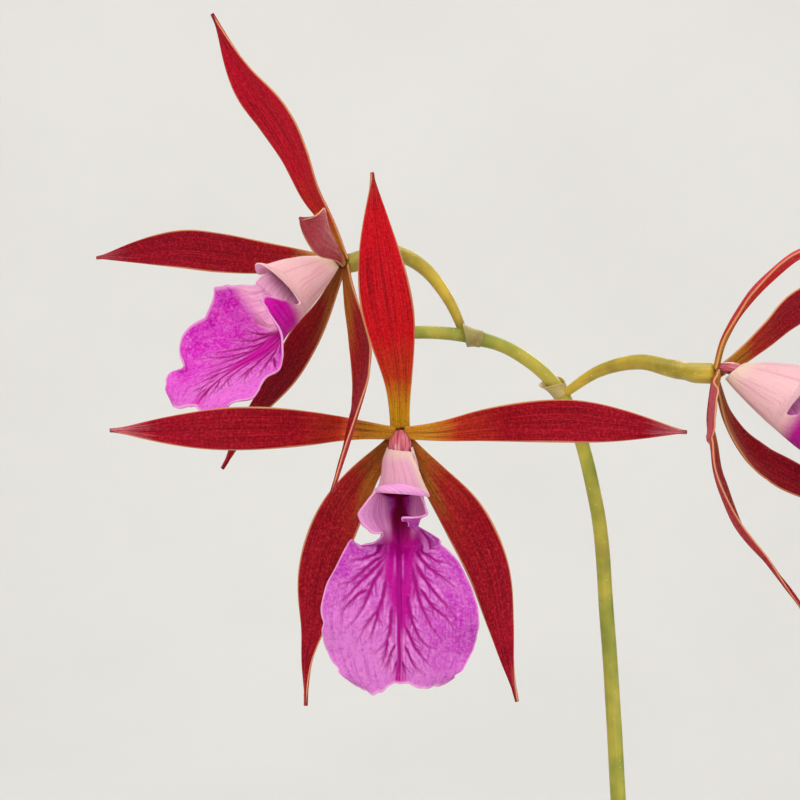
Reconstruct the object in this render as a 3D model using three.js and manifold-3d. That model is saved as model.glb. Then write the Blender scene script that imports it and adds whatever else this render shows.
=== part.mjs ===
// A potted encyvola orchid: a plain clay pot of bark holding a short row of stem bulbs with strap
// leaves, and one arching flower stem that carries three star-shaped red blooms with broad pink lips.
// Millimetres, +Z up, the front is -Y. The origin is the middle of the pot's underside.
import * as THREE from "three";
import { mergeVertices } from "three/addons/utils/BufferGeometryUtils.js";
import Module from "manifold-3d";

const wasm = await Module();
wasm.setup();

// Driving dimensions
const GAP = 0.3; // between pieces that touch on the real plant
const POT = {
  height: 106,
  footRadius: 41,
  bandRadius: 57,
  rimRadius: 61,
  bandHeight: 22,
  wall: 4.5,
  floor: 6,
  drainRadius: 5,
  drainCircle: 24,
  drains: 4,
  sides: 36,
};
const BARK = { top: 95, crown: 4, spread: 46, chips: 26, long: 21, wide: 14, thick: 7, tilt: 0.35 };
const RHIZOME = { radius: 3.2, height: 97, overhang: 6 };
const ROOT = { radius: 1.5, tip: 1.1, hump: 4, dive: 10 };
const BULB = { neck: 3.6, ribs: 6, ribDepth: 0.04, sides: 12, steps: 8, lift: 1.4 };
const LEAF = { thick: 1.7, edge: 0.9, fold: 0.42, apart: 3, leadApart: 3.4, across: 4, along: 12 };
const STEM = { base: 1.7, tip: 1.0, sides: 8, steps: 30 };
const STALK = { root: 0.65, sides: 8, steps: 11 };
const HUB = { place: [-25, -45, 400], radius: 1.5 };
const TEPAL = { thick: 0.85, edge: 0.65, tip: 0.5, channel: 0.22, across: 4, along: 11 };
// A lip's rows are joined by one smooth line through their sizes, where wrapUnit degrees count as 1 mm.
const LIP = { thick: 0.62, across: 14, along: 20, wrapUnit: 20 };

const COLOURS = {
  clay: { color: 0xb5694a, roughness: 0.85 },
  bark: { color: 0x6b4630, roughness: 0.95 },
  root: { color: 0xa9ab8e, roughness: 0.8 },
  bulb: { color: 0x6f7f3c, roughness: 0.5 },
  leaf: { color: 0x47682f, roughness: 0.45 },
  stem: { color: 0x8b8f3a, roughness: 0.5 },
  tepal: { color: 0xa81a24, roughness: 0.55 },
  lip: { color: 0xcf4fb8, roughness: 0.5 },
  column: { color: 0xc86f8a, roughness: 0.45 },
};

const plant = new THREE.Group();
const { degToRad, smoothstep, clamp, lerp, mapLinear } = THREE.MathUtils;
const vec = (x, y, z) => new THREE.Vector3(x, y, z);
const UP = vec(0, 0, 1);
const hubPlace = vec(...HUB.place);

// Adds a geometry to the plant as one named piece.
function piece(name, finish, geometry, at = vec(0, 0, 0)) {
  const material = new THREE.MeshStandardMaterial({ metalness: 0, ...COLOURS[finish] });
  const mesh = new THREE.Mesh(geometry, material);
  mesh.name = name;
  mesh.position.copy(at);
  plant.add(mesh);
}

// A repeatable stream of numbers from 0 to 1.
function seeded(seed) {
  let state = seed;
  return () => {
    state = (state * 16807) % 2147483647;
    return state / 2147483647;
  };
}

// A geometry as a solid that can be joined and cut.
function solidOf(geometry) {
  const bare = new THREE.BufferGeometry();
  bare.setAttribute("position", geometry.getAttribute("position"));
  bare.setIndex(geometry.getIndex());
  const merged = mergeVertices(bare, 1e-4);
  const vertProperties = merged.attributes.position.array;
  const triVerts = new Uint32Array(merged.index.array);
  return new wasm.Manifold(new wasm.Mesh({ numProp: 3, vertProperties, triVerts }));
}

// The largest body of a solid as a geometry. A loose scrap is dropped.
function geometryOf(solid) {
  const bodies = solid.decompose();
  const largest = bodies.reduce((a, b) => (b.volume() > a.volume() ? b : a));
  const mesh = largest.getMesh();
  const geometry = new THREE.BufferGeometry();
  geometry.setAttribute("position", new THREE.BufferAttribute(mesh.vertProperties.slice(), 3));
  geometry.setIndex(new THREE.BufferAttribute(mesh.triVerts.slice(), 1));
  return geometry;
}

const curveThrough = (points) => new THREE.CatmullRomCurve3(points, false, "centripetal");
const roundBar = (radius) => [radius, radius];
const upright = (geometry) => geometry.rotateX(Math.PI / 2);

// The frame of a strip or stem at t along its midline. Its normal is the way it faces there.
function frameAt(curve, t, facing) {
  const at = curve.getPointAt(t);
  const along = curve.getTangentAt(t);
  const normal = facing.clone().addScaledVector(along, -facing.dot(along)).normalize();
  const across = along.clone().cross(normal);
  return { at, across, normal };
}

// A closed thin solid on both sides of the surface place(u, v), with u from -1 to 1 and v from 0 to 1.
// Both faces are split into the same triangles.
function sheet(across, along, place, thick) {
  const plane = new THREE.PlaneGeometry(1, 1, across, along);
  const grid = plane.getAttribute("position");
  const count = grid.count;
  const step = 1e-3;
  const fronts = [];
  const backs = [];
  for (let i = 0; i < count; i++) {
    const u = grid.getX(i) * 2;
    const v = grid.getY(i) + 0.5;
    const sideways = place(u + step, v).sub(place(u - step, v));
    const lengthways = place(u, Math.min(v + step, 1)).sub(place(u, Math.max(v - step, 0)));
    const normal = sideways.cross(lengthways).normalize();
    const middle = place(u, v);
    const half = thick(u) / 2;
    fronts.push(...middle.clone().addScaledVector(normal, half).toArray());
    backs.push(...middle.clone().addScaledVector(normal, -half).toArray());
  }
  const front = Array.from(plane.getIndex().array);
  const index = [...front];
  for (let i = 0; i < front.length; i += 3) {
    index.push(front[i] + count, front[i + 2] + count, front[i + 1] + count);
  }
  const row = across + 1;
  const rim = [];
  for (let i = 0; i < across; i++) rim.push(along * row + i);
  for (let j = along; j > 0; j--) rim.push(j * row + across);
  for (let i = across; i > 0; i--) rim.push(i);
  for (let j = 0; j < along; j++) rim.push(j * row);
  rim.forEach((a, i) => {
    const b = rim[(i + 1) % rim.length];
    index.push(a + count, b + count, b, a + count, b, a);
  });
  const geometry = new THREE.BufferGeometry();
  geometry.setAttribute("position", new THREE.Float32BufferAttribute([...fronts, ...backs], 3));
  geometry.setIndex(index);
  return geometry;
}

// A closed round solid along a curve. radii(t, angle) gives its half width and half thickness.
function limb(curve, radii, sides, steps, facing) {
  const geometry = new THREE.CylinderGeometry(1, 1, 1, sides, steps);
  const grid = geometry.getAttribute("position");
  for (let i = 0; i < grid.count; i++) {
    const t = clamp(grid.getY(i) + 0.5, 0, 1);
    const angle = Math.atan2(grid.getX(i), grid.getZ(i));
    const { at, across, normal } = frameAt(curve, t, facing);
    const [wide, thick] = radii(t, angle);
    at.addScaledVector(across, grid.getX(i) * wide);
    at.addScaledVector(normal, grid.getZ(i) * thick);
    grid.setXYZ(i, at.x, at.y, at.z);
  }
  return geometry;
}

// The radius of the pot's inside at height z
function wellRadius(z) {
  const { height, footRadius, rimRadius, wall, floor } = POT;
  return mapLinear(z, floor, height, footRadius - wall, rimRadius - wall);
}

const turnedShape = (profile, sides) => {
  const points = profile.map(([r, z]) => new THREE.Vector2(r, z));
  return solidOf(upright(new THREE.LatheGeometry(points, sides)));
};

// A clay pot with a banded rim and drain holes
function pot() {
  const { height, footRadius, bandRadius, rimRadius, bandHeight, floor, sides } = POT;
  const bandFoot = height - bandHeight;
  const bevel = 1.5;
  let solid = turnedShape(
    [
      [0, 0],
      [footRadius - bevel, 0],
      [footRadius, bevel],
      [bandRadius - 1, bandFoot],
      [rimRadius, bandFoot + bevel],
      [rimRadius, height - bevel],
      [rimRadius - bevel, height],
      [wellRadius(height) + bevel / 2, height],
      [wellRadius(height - bevel), height - bevel],
      [wellRadius(floor), floor],
      [0, floor],
    ],
    sides,
  );
  for (let i = 0; i < POT.drains; i++) {
    const angle = (2 * Math.PI * (i + 0.5)) / POT.drains;
    const hole = upright(new THREE.CylinderGeometry(POT.drainRadius, POT.drainRadius, 4 * floor, 10));
    hole.translate(POT.drainCircle * Math.cos(angle), POT.drainCircle * Math.sin(angle), 0);
    solid = solid.subtract(solidOf(hole));
  }
  return geometryOf(solid);
}

// Stem bulbs in a row on the rhizome, the oldest first. A leaf is [azimuth anticlockwise from +X, length,
// width, lean at the bulb, lean at the tip], with leans in degrees off upright.
const BULBS = [
  { x: -36, y: 8, height: 46, radius: 7.2, lean: -7, leaves: [[196, 150, 14, 16, 72]] },
  {
    x: -19, y: 5, height: 56, radius: 7.6, lean: -4,
    leaves: [[122, 172, 16, 12, 66], [248, 165, 15, 14, 70]],
  },
  {
    x: -1.5, y: 4, height: 62, radius: 8, lean: -1,
    leaves: [[98, 188, 17, 10, 58], [262, 180, 17, 13, 66]],
  },
  {
    x: 16.5, y: 3, height: 66, radius: 8, lean: 0,
    leaves: [[66, 192, 17, 11, 60], [292, 184, 17, 12, 64]],
  },
  {
    x: 34, y: 1, height: 42, radius: 6.4, lean: 8,
    leaves: [[48, 150, 15, 12, 64], [290, 140, 14, 16, 70]],
  },
];
const LEAD = BULBS[3];
const BULB_FOOT = RHIZOME.height + RHIZOME.radius + BULB.lift;

function bulbCurve({ x, y, height, lean }) {
  const shift = height * Math.tan(degToRad(lean));
  return curveThrough([
    vec(x, y, BULB_FOOT),
    vec(x, y, BULB_FOOT + height * 0.15),
    vec(x + shift * 0.35, y, BULB_FOOT + height * 0.5),
    vec(x + shift, y, BULB_FOOT + height),
  ]);
}

// A ribbed spindle. grow fattens it for the hole that it leaves in the bark.
function bulb(spec, grow = 0) {
  const radii = (t, angle) => {
    const belly = Math.sin(Math.PI * Math.pow(0.12 + 0.8 * t, 0.85));
    const rib = 1 + BULB.ribDepth * Math.cos(BULB.ribs * angle);
    return roundBar(lerp(BULB.neck, spec.radius, belly) * rib + grow);
  };
  return limb(bulbCurve(spec), radii, BULB.sides, BULB.steps, vec(0, -1, 0));
}

const awayAt = (degrees) => vec(Math.cos(degToRad(degrees)), Math.sin(degToRad(degrees)), 0);

// A leaf's midline leans over steadily from its root to its tip.
function leafMidline(root, away, length, startLean, endLean) {
  const spans = 6;
  const points = [root.clone()];
  for (let i = 0; i < spans; i++) {
    const lean = degToRad(lerp(startLean, endLean, (i + 0.5) / spans));
    const next = points[i].clone();
    next.addScaledVector(away, (length / spans) * Math.sin(lean));
    next.addScaledVector(UP, (length / spans) * Math.cos(lean));
    points.push(next);
  }
  return curveThrough(points);
}

// A thick strap leaf, folded along its middle, which stands on the rim of its bulb's neck
function leaf(top, offset, [azimuth, length, width, startLean, endLean]) {
  const away = awayAt(azimuth);
  const root = top.clone().addScaledVector(away, offset);
  const midline = leafMidline(root, away, length, startLean, endLean);
  const inward = away.clone().negate();
  const halfWidth = (v) => {
    const swell = lerp(0.36, 1, Math.sin((Math.PI / 2) * Math.min(v / 0.35, 1)));
    const point = Math.pow(Math.cos((Math.PI / 2) * Math.max((v - 0.55) / 0.45, 0)), 0.7);
    return Math.max((width / 2) * swell * point, 0.6);
  };
  const place = (u, v) => {
    const { at, across, normal } = frameAt(midline, v, inward);
    const half = halfWidth(v);
    const fold = LEAF.fold * half * Math.abs(u) * (1 - 0.35 * v);
    return at.addScaledVector(across, u * half).addScaledVector(normal, fold);
  };
  return sheet(LEAF.across, LEAF.along, place, (u) => lerp(LEAF.thick, LEAF.edge, u * u));
}

// Roots leave the rhizome over the bark and dive into it. Each is [bulb, azimuth, reach].
const ROOTS = [
  [0, 235, 12],
  [0, 105, 20],
  [1, 265, 25],
  [2, 80, 26],
  [3, 275, 24],
  [4, 35, 13],
];

function rhizome(grow = 0) {
  const first = BULBS[0];
  const last = BULBS[BULBS.length - 1];
  const reach = RHIZOME.overhang + grow;
  const line = [
    vec(first.x - reach, first.y + 1, RHIZOME.height),
    ...BULBS.map(({ x, y }) => vec(x, y, RHIZOME.height)),
    vec(last.x + reach, last.y, RHIZOME.height),
  ];
  const bar = () => roundBar(RHIZOME.radius + grow);
  let solid = solidOf(limb(curveThrough(line), bar, 8, 10, UP));
  for (const [index, azimuth, run] of ROOTS) {
    const away = awayAt(azimuth);
    const start = vec(BULBS[index].x, BULBS[index].y, RHIZOME.height);
    const onWay = (out, up) => start.clone().addScaledVector(away, out).addScaledVector(UP, up);
    const path = curveThrough([
      start,
      onWay(run * 0.55, ROOT.hump),
      onWay(run, -2),
      onWay(run + 2, -ROOT.dive - grow),
    ]);
    const taper = (t) => roundBar(lerp(ROOT.radius, ROOT.tip, t) + grow);
    const sideways = vec(0, 0, 1).cross(away);
    solid = solid.add(solidOf(limb(path, taper, 6, 6, sideways)));
  }
  return solid;
}

// Bark: a filling that follows the pot's inside, with chips on top in a sunflower's pattern
function bark() {
  const { height, sides, floor } = POT;
  const random = seeded(4177);
  const foot = floor + GAP;
  const shoulder = BARK.top - 2;
  let solid = turnedShape(
    [
      [0, foot],
      [wellRadius(foot) - GAP, foot],
      [wellRadius(shoulder) - GAP, shoulder],
      [BARK.spread * 0.6, BARK.top],
      [0, BARK.top + BARK.crown],
    ],
    sides,
  );
  const goldenAngle = Math.PI * (3 - Math.sqrt(5));
  for (let i = 0; i < BARK.chips; i++) {
    const share = Math.sqrt((i + 0.5) / BARK.chips);
    const size = 0.75 + 0.5 * random();
    const chip = new THREE.BoxGeometry(BARK.long * size, BARK.wide * size, BARK.thick);
    chip.rotateX(BARK.tilt * (2 * random() - 1));
    chip.rotateY(BARK.tilt * (2 * random() - 1));
    chip.rotateZ(Math.PI * random());
    const out = BARK.spread * share;
    const up = BARK.top + BARK.crown * (1 - share) + 1.5 * random();
    chip.translate(out * Math.cos(i * goldenAngle), out * Math.sin(i * goldenAngle), up);
    solid = solid.add(solidOf(chip));
  }
  const top = wellRadius(height) - GAP;
  const well = upright(new THREE.CylinderGeometry(top, wellRadius(0) - GAP, height, sides));
  solid = solid.intersect(solidOf(well.translate(0, 0, height / 2)));
  solid = solid.subtract(rhizome(GAP));
  for (const spec of BULBS) solid = solid.subtract(solidOf(bulb(spec, GAP)));
  return geometryOf(solid);
}

// Outlines of sepals and petals: width at the root, greatest width, where it lies, and how the edges
// swell before it and fall after it.
const OUTLINES = {
  dorsal: { root: 2.9, widest: 7.7, peak: 0.5, rise: 2.2, fall: 1.1 },
  petal: { root: 1.9, widest: 6.3, peak: 0.58, rise: 1.3, fall: 1.0 },
  sepal: { root: 2.0, widest: 6.9, peak: 0.4, rise: 1.5, fall: 1.25 },
};

// Blooms. place is the hub, from the front bloom's hub. face is the way the bloom looks, and stalk the
// points of its stalk from the hub back to the stem. A spoke is where a sepal or petal leaves the hub,
// clockwise from the top in degrees, seen from in front. path lists points of its midline from the hub,
// and looks are the ways that its upper side faces at its root and its tip. The lip turns to the side
// by yaw and up by pitch, its middle lobe twists about its own midline, and over is the side whose
// rolled margin lies outside the other.
const AHEAD = [0, -1, 0];
const AHEAD_VECTOR = vec(...AHEAD);
const LEFTWARD = [-0.86, -0.51, 0];
const RIGHTWARD = [0.97, -0.26, 0];

const FRONT_BLOOM = {
  place: [0, 0, 0],
  face: AHEAD,
  lip: { rows: "frontal", yaw: 0, pitch: 0, twist: 0, size: 1, over: "left" },
  stalk: [[0, 6, 0.4], [0.3, 12, 2.6], [0.8, 16, 8.1], [1.2, 17, 14]],
  stalkSide: [1, 0, 0],
  tepals: {
    dorsal_sepal: {
      outline: "dorsal",
      spoke: 0,
      path: [
        [-0.3, -3, 7.9],
        [-1.2, -6.5, 14.6],
        [-2.3, -10.5, 21.1],
        [-3.3, -15, 28.9],
        [-4, -19, 37.6],
      ],
    },
    right_petal: {
      outline: "petal",
      spoke: 90,
      path: [
        [6, -2.5, 0.3],
        [13.3, -6, 1.3],
        [23.4, -10.5, 1.9],
        [31.9, -14.5, 1.3],
        [41.3, -18, 0.3],
      ],
    },
    left_petal: {
      outline: "petal",
      spoke: -90,
      path: [
        [-7.4, -3, 0.6],
        [-14.8, -8.5, 0.8],
        [-23.3, -14.5, 0.8],
        [-31.7, -18.5, 0.6],
        [-41.5, -21, 0.6],
      ],
    },
    right_sepal: {
      outline: "sepal",
      spoke: 140,
      path: [
        [5.1, -0.5, -6.7],
        [9.1, -1.5, -12.9],
        [12.6, -3, -20.4],
        [14.4, -4.5, -28.4],
        [15.6, -6, -34.1],
        [17, -7, -39.3],
      ],
    },
    left_sepal: {
      outline: "sepal",
      spoke: -140,
      path: [
        [-5.8, -0.5, -7],
        [-9.5, -1.5, -13.5],
        [-12.1, -3, -21.6],
        [-12.8, -4.5, -28.8],
        [-13.7, -6, -34.1],
        [-13.9, -7, -40.2],
      ],
      looks: [AHEAD, [-0.7, -0.7, 0]],
    },
  },
};

const LEFT_BLOOM = {
  place: [-8.4, 8, 25.9],
  face: LEFTWARD,
  lip: { rows: "sideways", yaw: -57, pitch: 41, twist: -10, size: 0.9, over: "right" },
  stalk: [[3.5, 3, 0.9], [8.1, 9, 1.8], [12.4, 12, -0.5], [16, 12.2, -5.2], [18.6, 12, -10.9]],
  stalkSide: [0, 1, 0],
  tepals: {
    dorsal_sepal: {
      outline: "dorsal",
      spoke: 9,
      path: [
        [-2.4, -2.5, 6.1],
        [-4.8, -4.5, 10.5],
        [-7.1, -6.5, 16],
        [-10.3, -8.5, 21.5],
        [-14.8, -11, 27.4],
        [-19.4, -14, 36.2],
      ],
    },
    far_petal: {
      outline: "petal",
      spoke: -85,
      path: [
        [-7, 5, 0.7],
        [-13.8, 10.5, 1.4],
        [-20, 15, 2.3],
        [-25.1, 18.5, 3],
        [-31.6, 22, 2.9],
        [-40.5, 26, 2],
      ],
    },
    near_petal: {
      outline: "petal",
      spoke: 75,
      path: [[-1.5, -9, 2], [-2.6, -19, 3.1], [-3.4, -30, 3.9], [-5.5, -39, 4.4]],
      looks: [LEFTWARD, [-0.45, -0.5, 0.75]],
    },
    near_sepal: {
      outline: "sepal",
      spoke: 143,
      path: [
        [1.1, -2, -5.7],
        [2.4, -4.5, -10.6],
        [3.3, -7.5, -15.2],
        [3, -11.5, -19.1],
        [2, -15, -22.7],
        [0.6, -18, -27.6],
        [-1.5, -20.7, -34.4],
      ],
      looks: [LEFTWARD, [-0.95, -0.3, 0]],
    },
    far_sepal: {
      outline: "sepal",
      spoke: -143,
      path: [
        [-3.6, 3, -8.3],
        [-6.3, 5, -12.4],
        [-9.1, 7, -16.6],
        [-12.2, 9, -20.6],
        [-15.8, 11, -25.6],
        [-19.5, 13, -31.7],
      ],
    },
  },
};

const RIGHT_BLOOM = {
  place: [47.3, 2, 9],
  face: RIGHTWARD,
  lip: { rows: "sideways", yaw: 75, pitch: 46, twist: 10, size: 1, over: "left" },
  stalk: [[-3, 1, 0.1], [-6.2, 5, 0.8], [-10.3, 10, 1.8], [-16.1, 16, 0.5], [-21.7, 22, -3.3]],
  stalkSide: [0, 0, 1],
  tepals: {
    dorsal_sepal: {
      outline: "dorsal",
      spoke: -10,
      path: [
        [1.2, -1, 4.8],
        [3.4, -2, 9.1],
        [6.1, -3, 13],
        [11.4, -5, 17.7],
        [15.1, -6, 18.8],
        [20.9, -7, 19.1],
        [27.4, -8, 18.1],
        [32.1, -9, 16.6],
      ],
      looks: [RIGHTWARD, [0.3, -0.2, -0.9]],
    },
    far_petal: {
      outline: "petal",
      spoke: 65,
      path: [
        [4.8, 5, 2.9],
        [8.5, 9, 5.9],
        [12.2, 13, 9.1],
        [15.1, 16, 10.9],
        [22.2, 22, 14.9],
        [33, 30, 20],
      ],
    },
    near_petal: {
      outline: "petal",
      spoke: -108,
      path: [[-1.2, -9, -3.3], [-2.3, -18, -5.5], [-3.5, -28, -7.6], [-4.7, -38, -9.6]],
      looks: [RIGHTWARD, [0.8, -0.3, -0.5]],
    },
    near_sepal: {
      outline: "sepal",
      spoke: -148,
      path: [
        [-1, -2.4, -7.1],
        [-0.6, -3.4, -11],
        [-0.2, -5, -15.1],
        [2.3, -8, -22.4],
        [6.8, -10.5, -28.1],
        [9.5, -12, -31.6],
        [13.3, -14, -36.9],
      ],
    },
    far_sepal: {
      outline: "sepal",
      spoke: 140,
      path: [
        [2.3, 3, -7.1],
        [5.1, 5, -11.4],
        [8.7, 6.5, -14.1],
        [13.9, 8, -16.8],
        [20.3, 9.5, -20.2],
        [27.5, 11, -27.2],
      ],
    },
  },
};

const BLOOMS = { front: FRONT_BLOOM, left: LEFT_BLOOM, right: RIGHT_BLOOM };

// The half width of a sepal or petal at v, from its root to its drawn-out tip
function tepalHalfWidth({ root, widest, peak, rise, fall }, v) {
  const quarter = Math.PI / 2;
  if (v < peak) return lerp(root, widest, Math.pow(Math.sin((quarter * v) / peak), rise)) / 2;
  const left = Math.max(Math.cos((quarter * (v - peak)) / (1 - peak)), 0);
  return Math.max(widest * Math.pow(left, fall), TEPAL.tip) / 2;
}

// Roots lie round the end of the stalk, GAP off it, petals in front of sepals.
function tepalRoot(outline, spoke, face) {
  const rightward = UP.clone().cross(face);
  const out = HUB.radius + GAP;
  const forward = outline === "petal" ? 0.75 : -0.45;
  const root = face.clone().multiplyScalar(forward);
  root.addScaledVector(rightward, out * Math.sin(degToRad(spoke)));
  return root.addScaledVector(UP, out * Math.cos(degToRad(spoke)));
}

function tepal({ outline, spoke, path, looks }, face) {
  const points = path.map((p) => vec(...p));
  const midline = curveThrough([tepalRoot(outline, spoke, face), ...points]);
  const [rootLook, tipLook] = looks ? looks.map((look) => vec(...look)) : [face, face];
  const place = (u, v) => {
    const { at, across, normal } = frameAt(midline, v, rootLook.clone().lerp(tipLook, v * v));
    const half = tepalHalfWidth(OUTLINES[outline], v);
    return at.addScaledVector(across, u * half).addScaledVector(normal, TEPAL.channel * half * u * u);
  };
  return sheet(TEPAL.across, TEPAL.along, place, (u) => lerp(TEPAL.thick, TEPAL.edge, u * u));
}

// The lip, from its claw under the column, through the rolled side lobes, to the broad middle lobe.
// Each row is how far forward and how far down its lowest point lies, its half height, and its outer and
// inner side. A side is its half width, how far in degrees it wraps round the oval section, and how far
// its margin stands out, forward, and back towards the claw. A half height below 0 turns the margins back.
// The outer side's rolled lobe lies over the inner one's.
const LIP_ROWS = {
  frontal: [
    [0.7, 1.9, 2.1, [1.9, 215, -0.6, 0, -0.5], [1.8, 110, 0, 0, 0]],
    [0.5, 3.8, 2.8, [2.5, 222, -0.5, 0, 0], [2.4, 112, 0, 0, 0]],
    [0.4, 6.4, 4.1, [2.8, 232, -0.9, 0, 0], [2.9, 112, 0, 0, 0]],
    [0.4, 9.6, 5.2, [3.6, 238, -1.3, 0, -0.2], [3.4, 112, 0, 0, 0]],
    [0.6, 10.6, 5.2, [3.7, 112, 0.2, 0.3, 1.2], [3.3, 120, 0.1, 0, 0.5]],
    [0.8, 11.9, 4.9, [3.8, 98, 2.3, 0.9, -1.0], [3.4, 100, 0.75, 0.5, -0.6]],
    [1.0, 13.4, 4.6, [3.4, 96, 1.4, 0.4, -1.8], [2.95, 165, -0.5, 0.3, -0.6]],
    [1.4, 15.1, 3.8, [2.9, 100, -0.3, 0.2, -1.2], [2.65, 150, -0.5, 0.3, 0]],
    [2.4, 17.1, 2.6, [3.3, 80, 1.1, -0.6, -0.5], [2.9, 140, -0.2, 0, 0.5]],
    [5.4, 18.8, 1.6, [9.2, 52, 0, 0, 3.4], [7.6, 52, 0, 0, 3.3]],
    [6.6, 21.2, 0.6, [12.1, 50, 0, 0, 2.1], [11.6, 50, 0, 0, 2.1]],
    [7.6, 24.6, -2.0, [14.6, 50, 0, 0, 1.5], [14.2, 50, 0, 0, 1.5]],
    [8.6, 28.2, -3.6, [15.1, 50, 0, 0, 0.4], [15.1, 50, 0, 0, 0.4]],
    [8.8, 31.6, -4.2, [14.3, 50, 0, 0, -0.1], [14.3, 50, 0, 0, -0.1]],
    [8.7, 34.6, -4.2, [12.3, 50, 0, 0, -0.2], [12.3, 50, 0, 0, -0.2]],
    [8.4, 36.8, -4.0, [9.2, 50, 0, 0, -0.3], [9.2, 50, 0, 0, -0.3]],
  ],
  sideways: [
    [0.7, 1.9, 1.9, [1.8, 215, -0.6, 0, -0.5], [1.7, 110, 0, 0, 0]],
    [0.5, 4.2, 3.0, [2.5, 222, -0.6, 0, 0], [2.4, 112, 0, 0, 0]],
    [0.4, 7.2, 4.2, [3.2, 226, -0.6, 0, 0], [3.1, 112, 0, 0, 0]],
    [0.4, 10.6, 5.5, [3.7, 226, -0.6, 0, -1.2], [3.5, 112, 0, 0, 0]],
    [0.5, 12.4, 5.7, [3.6, 62, 0, 0, -0.1], [3.4, 128, 0, 1.8, -1.8]],
    [0.6, 14.2, 5.2, [3.7, 66, 0.2, 0.8, 0.2], [3.6, 110, 0.8, 2.0, 0.6]],
    [0.8, 15.8, 4.6, [3.9, 82, 0, 2.2, 0.2], [4.2, 92, 1.6, 3.6, 1.6]],
    [1.0, 17.2, 4.0, [3.8, 104, -1.6, 3.6, 0], [5.8, 78, 2.2, 5.6, 2.4]],
    [1.2, 18.8, 3.0, [4.2, 94, -1.4, 4.2, 0], [8.6, 68, 1.6, 7.2, 2.6]],
    [1.6, 20.8, 2.0, [5.6, 66, -0.6, 2.4, 0.8], [11.6, 60, 0.6, 7.4, 2.6]],
    [2.4, 23.0, 1.4, [8.2, 56, 0, 0.4, 0.6], [13.6, 52, 0, 6.2, 1.8]],
    [3.6, 26.0, 0.6, [11.0, 50, 0, -0.6, 0.4], [14.2, 50, 0, 5.0, 0.6]],
    [4.8, 29.2, -0.6, [12.6, 50, 0, -0.6, 0], [12.4, 50, 0, 4.0, 0.2]],
    [5.6, 32.2, -1.4, [12.8, 50, 0, 0, 0], [13.4, 50, 0, 2.8, -0.1]],
    [6.0, 35.0, -2.0, [11.6, 50, 0, 0, 0], [12.0, 50, 0, 1.4, -0.2]],
    [6.0, 37.4, -2.0, [8.8, 50, 0, 0, 0], [9.2, 50, 0, 0, -0.3]],
  ],
};
const MIDLOBE = {
  start: 0.57,
  waves: 2.6,
  depth: 0.8,
  offset: 0.4,
  scallops: [1.6, 0.7], // how far the end reaches past its middle, on each side
};

// The lines that the rows of a lip lie on: its lowest points, and the sections and margins of both sides
function lipLines(rows) {
  const side = (edges) => ({
    section: curveThrough(edges.map(([wide, wrap], i) => vec(wide, rows[i][2], wrap / LIP.wrapUnit))),
    margin: curveThrough(edges.map(([, , flare, lift, sweep]) => vec(flare, lift, sweep))),
  });
  return {
    middle: curveThrough(rows.map(([forward, drop]) => vec(0, -forward, -drop))),
    outer: side(rows.map(([, , , outer]) => outer)),
    inner: side(rows.map(([, , , , inner]) => inner)),
  };
}

// A point of the lip. The middle lobe's edges wave, and its end is scalloped.
function lipPlace(across, v, { twist, over }, lines) {
  const hand = over === "left" ? 1 : -1;
  const u = hand * across;
  const aside = Math.abs(u);
  const at = lines.middle.getPoint(v);
  const along = lines.middle.getTangent(v);
  const turn = degToRad(twist) * smoothstep(v, 0.36, MIDLOBE.start + 0.05);
  const sideways = vec(1, 0, 0).applyAxisAngle(along, turn);
  const forward = along.clone().cross(sideways);
  const { section, margin } = u < 0 ? lines.outer : lines.inner;
  const { x: wide, y: high, z: wrap } = section.getPoint(v);
  const { x: flare, y: lift, z: sweep } = margin.getPoint(v);
  const spread = smoothstep(v, MIDLOBE.start - 0.05, MIDLOBE.start + 0.15);
  const angle = degToRad(aside * wrap * LIP.wrapUnit);
  const phase = 2 * Math.PI * MIDLOBE.waves * ((v - MIDLOBE.start) / (1 - MIDLOBE.start));
  const lag = u < 0 ? MIDLOBE.offset : 0;
  const wave = MIDLOBE.depth * spread * Math.pow(aside, 3) * Math.sin(phase - lag);
  const reach = MIDLOBE.scallops[u < 0 ? 0 : 1];
  const scallop = reach * smoothstep(v, 0.85, 1) * Math.sin(Math.PI * u) ** 2;
  const out = wide * Math.sin(angle) + flare * Math.pow(aside, 3);
  const up = high * (1 - Math.cos(angle)) + lift * Math.pow(aside, 3) + wave;
  at.addScaledVector(sideways, Math.sign(across) * out);
  at.addScaledVector(forward, up);
  return at.addScaledVector(along, scallop - sweep * aside * aside);
}

// Sizes and turns a lip or column as its bloom holds it.
function posed(geometry, { yaw, pitch, size }) {
  return geometry.scale(size, size, size).rotateX(-degToRad(pitch)).rotateZ(degToRad(yaw));
}

function lip(pose) {
  const lines = lipLines(LIP_ROWS[pose.rows]);
  const place = (u, v) => lipPlace(u, v, pose, lines);
  return posed(sheet(LIP.across, LIP.along, place, () => LIP.thick), pose);
}

// The column lies along the inside of the rolled lip, and widens to its end.
const COLUMN_LINE = [[1.6, 0.1], [3.0, 1.6], [3.9, 3.8], [5.4, 6.2], [7.4, 8.2]];

function column(pose) {
  const line = curveThrough(COLUMN_LINE.map(([forward, drop]) => vec(0, -forward, -drop)));
  const radii = (t) => [lerp(0.75, 1.3, t * t), lerp(0.6, 1.0, t * t)];
  return posed(limb(line, radii, 8, 6, vec(0, -1, 1)), pose);
}

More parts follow.
